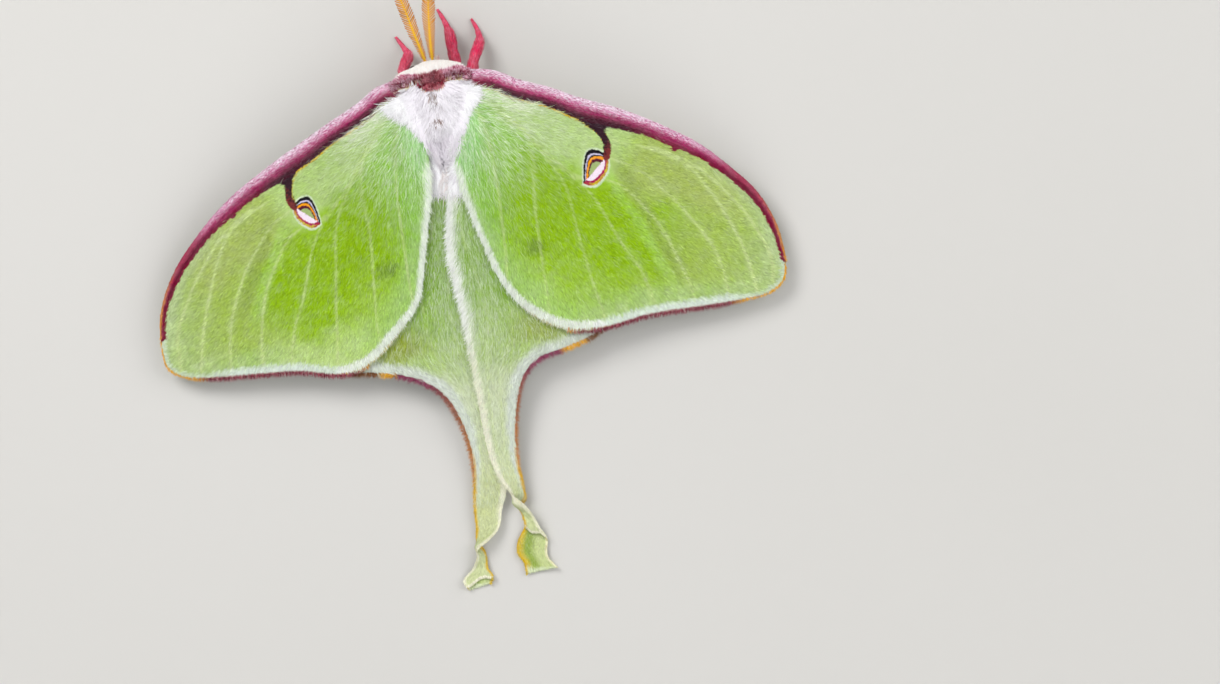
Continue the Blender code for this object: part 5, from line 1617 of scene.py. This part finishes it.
def fur(name, count, weight, length, wide, rise, fall, fix, segs=4, clump=9, pull=0.5, roll=0.5, sway=0.16, along=None, tip=None,
        spread=0.22, amount=0.04, paint=None, sheet=None, shade_by=0.05, lock=0.15):
    sheet = body if sheet is None else sheet
    where = sheet.draw(int(count * FULL), weight)
    up = unit(sheet.at(sheet.n, where))
    root = sheet.at(sheet.p, where) - up * 0.05
    lie = unit(sheet.at(sheet.lie if along is None else along, where))
    lie = swerve(unit(lie - up * np.sum(lie * up, axis=1, keepdims=True)), up, spread)
    n = len(root)
    size = sheet.at(length, where) * rng.uniform(0.65, 1.2, n)
    k = Arrays(root)
    tint = body_marks(k, root[:, 0], root[:, 1], root[:, 2]) if paint is None else paint(k, root)
    lean, shade, twist = clumps(root, clump, pull)
    lie = turned(lie, up, twist * lock)
    tint = vary(tint, amount) * np.exp(np.clip(shade, -2, 0.5) * shade_by)[:, None]
    end = None if tip is None else np.clip(tip(k, root, tint, shade), 0, 1)
    grow(name, fur_mat, "fur", root, lie, up, size, wide * rng.uniform(0.7, 1.25, n), tint, sheet.at(sheet.uv, where), segs=segs,
         rise=rise, fall=fall, roll=roll, sway=sway, lean=lean, fix=fix, tip=end)


# tips lifted towards white; with the darker roots this paints light and shade along each hair, shaded roots and lit
# tips
def bright_tip(k, root, tint, shade):
    return np.maximum(tint, 0.35 * tint + 0.65 * np.array(FUR_WHITE))


def silky(k, root):
    """White locks with roots tinted a little darker: painted shade under the hairs that lie over them."""
    c = body_marks(k, root[:, 0], root[:, 1] + 0.45, root[:, 2])
    return c * np.array(lin(248, 245, 249))


# thorax: long silky locks that spread over the wings' bases
back_row = np.array([collar_back(Arrays(None), q) for q in bx])
thorax = smooth(-0.1, 0.3, by - back_row) * smooth(10.0, 8.5, by)
high = smooth(8.4, 9.4, bz + 0.9 * smooth(3.0, 8.0, by))
fur("thorax_fur", 9600, thorax * high, 2.7 - 0.3 * smooth(3, 8, by), 0.10, 0.24, -0.24, over_wings, clump=24, pull=0.85, sway=0.16,
    spread=0.14, tip=bright_tip, shade_by=0.12, paint=silky, lock=0.34)
back_streak = 0.7 * smooth(0.16, 0.06, np.abs(bx - 0.62 + 0.15 * by)) * smooth(-0.6, 0.0, by) * smooth(2.4, 1.6, by) * (bz > 8.5)
back_spots = smooth(0.75, 0.35, np.hypot(bx - 0.45, by - 3.9)) * (bz > 8.5)


def lifted(v):
    v = over_wings(v)
    v[..., 2] += 0.30
    return v


fur("thorax_marks", 72, 0.8 * back_streak + 0.7 * back_spots, 0.60 + 0 * bx, 0.07, 0.30, -0.26, lifted, segs=3, clump=3, pull=0.5,
    spread=0.16, paint=lambda k, r: np.tile(np.array(lin(132, 98, 82)), (len(r), 1)), amount=0.2, shade_by=0.2, lock=0.2)
rump = smooth(5.0, 6.5, by) * smooth(13.5, 12.0, by) * smooth(0.2, 0.5, body.n[..., 2]) * smooth(2.9, 2.3, np.abs(bx))
fur("rump_fur", 4200, rump, 3.2 - 0.6 * smooth(8, 12, by), 0.10, 0.66, -0.45, over_wings, clump=18, pull=0.8, sway=0.18, tip=bright_tip,
    spread=0.16, shade_by=0.16, paint=silky, lock=0.3)
fur("thorax_fur_sides", 4500, smooth(-2.4, -1.9, by) * smooth(10.5, 8.5, by) * (1 - high), 1.4 + 0 * bx, 0.10, 0.30, -0.25, under_wings,
    segs=3, clump=9, pull=0.5)
# abdomen
tail_end = smooth(9.0, 10.0, by)
fur("abdomen_fur", 7800, tail_end, 1.35 + 0 * bx, 0.10, 0.26, -0.22, under_wings, segs=3, clump=10, pull=0.5)
# the ruff: smooth cream in front, the maroon collar over its crown, white behind
collar_start = np.array([collar_front(Arrays(None), q) for q in rx])
collar_end = np.array([collar_back(Arrays(None), q) for q in rx])
crown = smooth(-0.25, 0.15, ruff.n[..., 2])
low = 1 - crown
band = smooth(0.35, 0.65, ry - collar_start) * smooth(0.05, -0.25, ry - collar_end) * crown
cream = np.maximum(smooth(0.40, 0.15, ry - collar_start), low * smooth(-1.4, -1.8, ry))
behind = smooth(-0.1, 0.2, ry - collar_end) * crown


def collar_tip(k, root, tint, shade):
    """Pale tips at the collar's sides, plain red in the middle tuft."""
    part = (root[:, 1] - collar_front(k, root[:, 0])) / (collar_back(k, root[:, 0]) - collar_front(k, root[:, 0]))
    side = smooth(1.4, 1.9, np.abs(root[:, 0] - 0.5))
    light = (0.3 + 0.7 * smooth(1.0, 0.35, part)) * smooth(-0.6, 0.7, shade + rng.normal(0, 0.3, len(root)))
    red = k.mix(tint, lin(220, 150, 158), (1 - side) * smooth(0.1, 1.2, shade) * 0.8)
    return k.mix(red, lin(240, 208, 222), side * light)


fur("collar_fur", 8500, band, 0.95 + 0 * rx, 0.11, 0.50, -0.30, None, segs=3, clump=15, pull=0.75, sheet=ruff, spread=0.14,
    tip=collar_tip, amount=0.12, shade_by=0.38, lock=0.4)


def pale_hairs(k, root):
    side = smooth(1.4, 1.9, np.abs(root[:, 0] - 0.5))[:, None]
    return np.array(lin(206, 132, 144)) * (1 - side) + np.array(lin(240, 200, 218)) * side


fur("collar_pale_hair", 1300, band, 0.75 + 0 * rx, 0.09, 0.62, -0.26, None, segs=3, clump=6, pull=0.4, sheet=ruff, spread=0.25,
    paint=pale_hairs, amount=0.12, shade_by=0.1, lock=0.2)
tuft = band * smooth(1.8, 1.3, np.abs(rx - 0.5)) * smooth(-2.6, -1.9, ry)
backwards = np.dstack([0.15 * outwards, np.ones_like(rx), 0 * rx])
fur("collar_tuft", 1800, tuft, 0.8 + 0 * rx, 0.11, 0.55, -0.30, over_wings, segs=3, clump=15, pull=0.75, sheet=ruff, along=backwards, spread=0.2,
    tip=collar_tip, amount=0.15, shade_by=0.5, lock=0.6)
back_tuft = smooth(1.55, 1.15, np.abs(bx - 0.5)) * smooth(-2.6, -2.2, by) * smooth(0.15, -0.15, by - back_row) * smooth(8.0, 8.8, bz)
trail = np.dstack([0.10 * side_way, np.ones_like(bx), 0.25 * np.ones_like(bx)])
fur("collar_tuft_back", 1500, back_tuft, 0.75 + 0 * bx, 0.11, 0.50, -0.30, over_wings, segs=3, clump=12, pull=0.75, along=trail, spread=0.3,
    tip=collar_tip, amount=0.15, shade_by=0.5, lock=0.5)
fur("ruff_fur", 8500, cream, 0.70 + 0 * rx, 0.08, 0.26, -0.24, None, segs=3, clump=7, pull=0.35, roll=0.35, sway=0.08, sheet=ruff,
    spread=0.14, shade_by=0.04)
line = smooth(0.22, 0.06, np.abs(ry - collar_end - 0.05)) * crown * smooth(1.2, 1.6, np.abs(rx - 0.5))
spread_back = np.dstack([1.5 * outwards, np.ones_like(rx), 0 * rx])
fur("ruff_line", 260, line * (1 - at_ends), 0.34 + 0 * rx, 0.08, 0.40, -0.30, over_wings, segs=2, clump=5, pull=0.3, sheet=ruff, along=spread_back,
    paint=lambda k, r: np.tile(COLLAR_LINE, (len(r), 1)), amount=0.12)
# roots a little darker than the whitened tips: painted shade at the roots
fur("ruff_fur_back", 6800, behind * (1 - 0.35 * at_ends), 2.5 - 0.5 * smooth(3, 0, np.abs(rx)), 0.10, 0.34, -0.32, over_wings, clump=22, pull=0.85,
    sway=0.16, sheet=ruff, spread=0.14, lock=0.34, along=spread_back, tip=bright_tip, shade_by=0.16, paint=lambda k, r: np.tile(np.array(FUR_WHITE) * np.array(lin(248, 245, 249)), (len(r), 1)))
# head: short smooth hair, finest round the eyes and on the face
front = smooth(-1.9, -2.4, by) * smooth(9.2, 8.6, bz)
eye_room = np.min([np.linalg.norm(body_grid - np.array(c), axis=-1) for c in ((2.85, -3.75, 6.05), (-2.35, -3.75, 6.05))], axis=0)
clear_eye = smooth(0.95, 1.15, eye_room)
fur("head_fur", 8000, front * clear_eye, 0.62 - 0.25 * smooth(7.0, 5.5, bz), 0.065, 0.36, -0.32, None, segs=2, clump=7, pull=0.3, roll=0.4, sway=0.1,
    spread=0.12)

for number, (grid, pts) in enumerate(palps):
    n = int(700 * max(FULL, 0.4))
    i, j = rng.integers(1, len(pts) - 1, n), rng.integers(0, 12, n)
    a, b = rng.random(n)[:, None], rng.random(n)[:, None]
    p = grid[i, j] * (1 - a) * (1 - b) + grid[i + 1, j] * a * (1 - b) + grid[i, j + 1] * (1 - a) * b + grid[i + 1, j + 1] * a * b
    c = pts[i] * (1 - a) + pts[i + 1] * a
    up, along = unit(p - c), unit(pts[i + 1] - pts[i])
    t = vary(np.tile(lin(240, 222, 214), (n, 1)), 0.06)
    t[rng.random(n) > 0.8] = lin(214, 150, 160)
    uv = np.stack([(number + 0.04 + 0.92 * (j + b[:, 0]) / 12) / 2, 0.02 + 0.96 * (i + a[:, 0]) / len(pts)], axis=1)
    lean, shade, twist = clumps(p, 5, 0.3)
    grow(f"palp_{number + 1}_fur", fur_mat, "fur", p - up * 0.02, swerve(along, up, 0.15), up, rng.uniform(0.3, 0.55, n), 0.06, t, uv,
         segs=2, rise=0.36, fall=-0.24, roll=0.35, lean=lean)

# legs
roots, alongs, ups, sizes, tints, uvs = [], [], [], [], [], []
for number, (name, (grid, axis, pts)) in enumerate(leg_parts.items()):
    ni, nj = grid.shape[:2]
    n = int(2900 * max(FULL, 0.4))
    i = rng.integers(2, ni - 1, n)
    j = rng.integers(0, nj - 1, n)
    a, b = rng.random(n)[:, None], rng.random(n)[:, None]
    p = grid[i, j] * (1 - a) * (1 - b) + grid[i + 1, j] * a * (1 - b) + grid[i, j + 1] * (1 - a) * b + grid[i + 1, j + 1] * a * b
    c = pts[i, :3] * (1 - a) + pts[i + 1, :3] * a
    up = unit(p - c)
    roots.append(p - up * 0.03); alongs.append(unit(axis[i] * (1 - a) + axis[i + 1] * a)); ups.append(up)
    r = pts[i, 3]
    sizes.append(np.clip(r * 1.15, 0.22, 0.75) * (1 - 0.4 * smooth(2.9, 3.1, i / (ni - 1) * 5)))
    # painted light and shade: hairs facing up are lighter rose, hairs facing down deep crimson
    light = smooth(-0.6, 0.9, up[:, 2])
    k = Arrays(p)
    t = k.mix(LEG_DEEP, LEG_ROSE, light * 0.8 + 0.2)
    t = k.mix(t, lin(232, 140, 168), (rng.random(n) > 0.72) * 0.5)
    hip = smooth(1.2, 0.4, i / (ni - 1) * 5)
    t = k.mix(t, lin(222, 130, 160), hip * 0.3)
    tints.append(t)
    uvs.append(np.stack([(number + 0.04 + 0.92 * (j + b[:, 0]) / (nj - 1)) / 6, 0.02 + 0.96 * (i + a[:, 0]) / ni], axis=1))
roots, alongs, ups, tints, uvs = (np.vstack(q) for q in (roots, alongs, ups, tints, uvs))
sizes = np.concatenate(sizes)


def off_floor(v):
    v = v.copy()
    v[..., 2] = np.maximum(v[..., 2], 0.015)
    return v


lean, shade, twist = clumps(roots, 6, 0.25)
grow("leg_fur", leg_mat, "leg", roots, swerve(alongs, ups, 0.18), ups, sizes * rng.uniform(0.7, 1.2, len(sizes)), 0.085,
     vary(tints, 0.10) * np.exp(shade * 0.08)[:, None], uvs, segs=2, rise=0.52, fall=-0.26, roll=0.35, lean=lean, fix=off_floor)


# ------------------------------------------------------------------- antennae
def tube(path, radius, sides):
    """A tapered tube along a path of points."""
    axis = unit(np.gradient(path, axis=0))
    ref = np.where(np.abs(axis[:, 2:]) > 0.9, [[1.0, 0, 0]], [[0, 0, 1.0]])
    b = unit(np.cross(axis, ref)); c = np.cross(b, axis)
    a = np.linspace(0, 2 * np.pi, sides + 1)
    return path[:, None] + radius[:, None, None] * (b[:, None] * np.cos(a)[None, :, None] + c[:, None] * np.sin(a)[None, :, None])


def antenna_material():
    mat, tree, shader, net = new_material("antenna_gold")
    along, across, _ = net.vector("comb")
    fine = net.noise(0.10, 3.0, 2.0)
    stem = net.mix(lin(250, 204, 30), lin(232, 170, 16), fine)
    twig = net.mix(lin(232, 164, 12), lin(186, 106, 2), net.step(0.2, 1.0, across) * 0.6 + fine * 0.4)
    colour = net.mix(stem, twig, net.step(0.02, 0.2, across))
    rings = net.step(0.86, 0.98, net.size(net.sine(along * 150.0)))
    colour = net.mix(colour, lin(150, 96, 22), rings * 0.5)
    net.put(shader.inputs["Base Color"], colour)
    net.put(shader.inputs["Roughness"], 0.42 + fine * 0.2)
    shader.inputs["Sheen Weight"].default_value = 0.15
    bump(net, shader, fine, 0.01)
    return mat


gold = antenna_material()
for side, path in ANTENNAE.items():
    rows = spline(path, 120)
    line, wide = rows[:, :3], rows[:, 3]
    run = np.concatenate([[0], np.cumsum(np.linalg.norm(np.diff(line, axis=0), axis=1))])
    axis = unit(np.gradient(line, axis=0))
    lateral = unit(np.cross(axis, np.tile([0.0, 0.0, 1.0], (len(axis), 1))))
    upward = np.cross(lateral, axis)
    P, Q, T, C = [], [], [], []
    taper = 0.190 - 0.11 * smooth(0, run[-1], run)
    g = tube(line, taper * (1 + 0.10 * np.abs(np.sin(run * np.pi / 0.34))), 10)
    p, q, c = closed_tube(g)
    P.append(p); Q.append(q); T.append(c)
    a = np.repeat(run / run[-1], 10)
    C.append(np.column_stack([np.concatenate([a, [0, 1]]), np.zeros(len(p)), np.zeros(len(p))]))
    step = 0.35
    for tier, (drop, lag) in enumerate(((0.10, 0.0), (-0.60, 0.0))):
        for k in range(int((run[-1] - 0.7) / step)):
            at = 0.55 + (k + lag) * step
            o = np.array([np.interp(at, run, line[:, i]) for i in range(3)])
            ax = unit(np.array([np.interp(at, run, axis[:, i]) for i in range(3)]))
            la = unit(np.array([np.interp(at, run, lateral[:, i]) for i in range(3)]))
            upv = np.cross(la, ax)
            w = float(np.interp(at, run, wide)) * (1.0 if tier == 0 else 0.72)
            for sgn in (-1, 1):
                jitter = rng.normal(0, 0.03, 3)
                u = np.linspace(0, 1, 6)[:, None]
                length = w * 1.22
                twig = o + (la * sgn * (0.80 + jitter[0]) + ax * (0.56 + jitter[1])) * length * u + ax * 0.16 * length * u ** 2 + upv * (drop + jitter[2]) * length * 0.45 * u
                g = tube(twig, np.linspace(0.125, 0.080, 6) * (1 if tier == 0 else 0.75), 5)
                p, q, c = closed_tube(g)
                off = sum(len(v) for v in P)
                P.append(p); Q.append(q + off); T.append(c + off)
                d = np.concatenate([np.repeat(u[:, 0], 5), [0, 1]])
                C.append(np.column_stack([np.full(len(p), at / run[-1]), d * 0.9 + 0.1, np.zeros(len(p))]))
    obj = make_mesh(f"antenna_{side}_comb", np.vstack(P), np.vstack(T), np.vstack(Q))
    set_vector(obj, "comb", np.vstack(C))
    piece(obj, gold, "antenna", f"antenna_{side}")


# ----------------------------------------------------------------------- eyes
def eye_material():
    mat, tree, shader, net = new_material("moth_eye")
    cells = tree.nodes.new("ShaderNodeTexVoronoi")
    cells.feature = "F1"
    cells.inputs["Scale"].default_value = 1 / (0.06 * MM)
    tree.links.new(net.object_coords(), cells.inputs["Vector"])
    dome = Value(net, cells.outputs["Distance"])
    colour = net.mix(lin(70, 44, 40), lin(26, 16, 18), net.step(0.2, 0.6, dome))
    colour = net.mix(colour, lin(104, 70, 50), net.step(0.5, 0.75, net.noise(0.5, 2.0)) * 0.5)
    net.put(shader.inputs["Base Color"], colour)
    net.put(shader.inputs["Roughness"], 0.16 + net.noise(0.3, 4.0) * 0.15)
    shader.inputs["Coat Weight"].default_value = 0.4
    shader.inputs["Coat Roughness"].default_value = 0.12
    bump(net, shader, 1.0 - dome, 0.02, 0.5)
    return mat


eye_mat = eye_material()
for side in ("left", "right"):
    lo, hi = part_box(f"eye_{side}")
    centre = (np.array(lo) + np.array(hi)) / 2 / MM - SHIFT
    half = (np.array(hi) - np.array(lo)) / 2 / MM
    u = np.linspace(0.001, np.pi - 0.001, 40)
    a = np.linspace(0, 2 * np.pi, 57)
    grid = np.stack([centre[0] + half[0] * np.cos(u)[:, None] * np.ones_like(a),
                     centre[1] + half[1] * np.sin(u)[:, None] * np.cos(a),
                     centre[2] + half[2] * np.sin(u)[:, None] * np.sin(a)], -1)
    p, q, c = closed_tube(grid[::-1])
    obj = make_mesh(f"eye_{side}_lens", p, c, q)
    piece(obj, eye_mat, "eye", f"eye_{side}")

# --------------------------------------------------------------- into the frame
for obj, slot, nodes in PIECES:
    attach(obj, "root")
    if nodes:
        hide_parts(*nodes)

# ---------------------------------------------------------------------- studio
def floor_material():
    mat, tree, shader, net = new_material("studio_floor")
    fine = net.noise(3.0, 1.0, 3.0)
    broad = net.noise(60.0, 2.0, 2.0)
    colour = net.mix(lin(208, 206, 201), lin(215, 213, 209), broad)
    net.put(shader.inputs["Base Color"], colour)
    net.put(shader.inputs["Roughness"], 0.75 + fine * 0.15)
    shader.inputs["Specular IOR Level"].default_value = 0.2
    bump(net, shader, fine, 0.02, 0.15)
    return mat


floor_mesh = bpy.data.meshes.new("studio_floor")
profile = [(0.0, 0.0), (0.15, 0.0), (0.35, 0.0), (0.70, 0.0)]
profile += [(0.70 + 0.55 * math.sin(t), 0.55 - 0.55 * math.cos(t)) for t in np.linspace(0, np.pi / 2, 15)[1:]] + [(1.25, 1.5)]
turns = 96
floor_points = [(0.0, 0.0, 0.0)] + [(r * math.cos(t), r * math.sin(t), z) for r, z in profile[1:] for t in np.linspace(0, 2 * np.pi, turns, endpoint=False)]
floor_faces = [(0, 1 + j, 1 + (j + 1) % turns) for j in range(turns)]
for i in range(len(profile) - 2):
    for j in range(turns):
        a, b = 1 + i * turns + j, 1 + i * turns + (j + 1) % turns
        floor_faces.append((a, a + turns, b + turns, b))
floor_mesh.from_pydata(floor_points, [], floor_faces)
floor_mesh.polygons.foreach_set("use_smooth", [True] * len(floor_mesh.polygons))
floor = bpy.data.objects.new("studio_floor", floor_mesh)
floor.location = (0, 0, -0.00002)
floor_mesh.materials.append(floor_material())
bpy.context.scene.collection.objects.link(floor)


def lamp(name, location, size, power, target=(0, 0, 0.005)):
    data = bpy.data.lights.new(name, "AREA")
    data.shape = "DISK"
    data.size = size
    data.energy = power
    obj = bpy.data.objects.new(name, data)
    obj.location = location
    obj.rotation_mode = "QUATERNION"
    obj.rotation_quaternion = (Vector(target) - Vector(location)).to_track_quat("-Z", "Y")
    bpy.context.scene.collection.objects.link(obj)
    return obj


lamp("key", (0.22, -0.30, 0.42), 0.30, 1.75)
lamp("fill", (-0.38, -0.05, 0.35), 0.45, 0.85)
lamp("rear", (0.05, 0.45, 0.30), 0.40, 0.62)

world = bpy.data.worlds.new("studio")
bpy.context.scene.world = world
world.use_nodes = True
world.node_tree.nodes["Background"].inputs["Color"].default_value = (0.93, 0.95, 1.0, 1.0)
world.node_tree.nodes["Background"].inputs["Strength"].default_value = 0.74

scene = bpy.context.scene
scene.view_settings.view_transform = "Standard"
scene.view_settings.look = "None"

# The camera looks straight down, turned so that the head is at the top
camera_data = bpy.data.cameras.new("camera")
camera_data.lens = 100.0
camera_data.sensor_width = 36.0
camera_data.clip_start, camera_data.clip_end = 0.01, 10.0
camera = bpy.data.objects.new("camera", camera_data)
right = Vector((-0.990, 0.139, 0.0)).normalized()
up = Vector((-0.139, -0.990, 0.0)).normalized()
back = right.cross(up)
matrix = Matrix((right, up, back)).transposed().to_4x4()
aim = (np.array([-18.746, 36.768, 0.0]) + SHIFT) * MM
matrix.translation = Vector((aim[0], aim[1], 0.4728))
camera.matrix_world = matrix
scene.collection.objects.link(camera)
scene.camera = camera

bpy.context.view_layer.update()
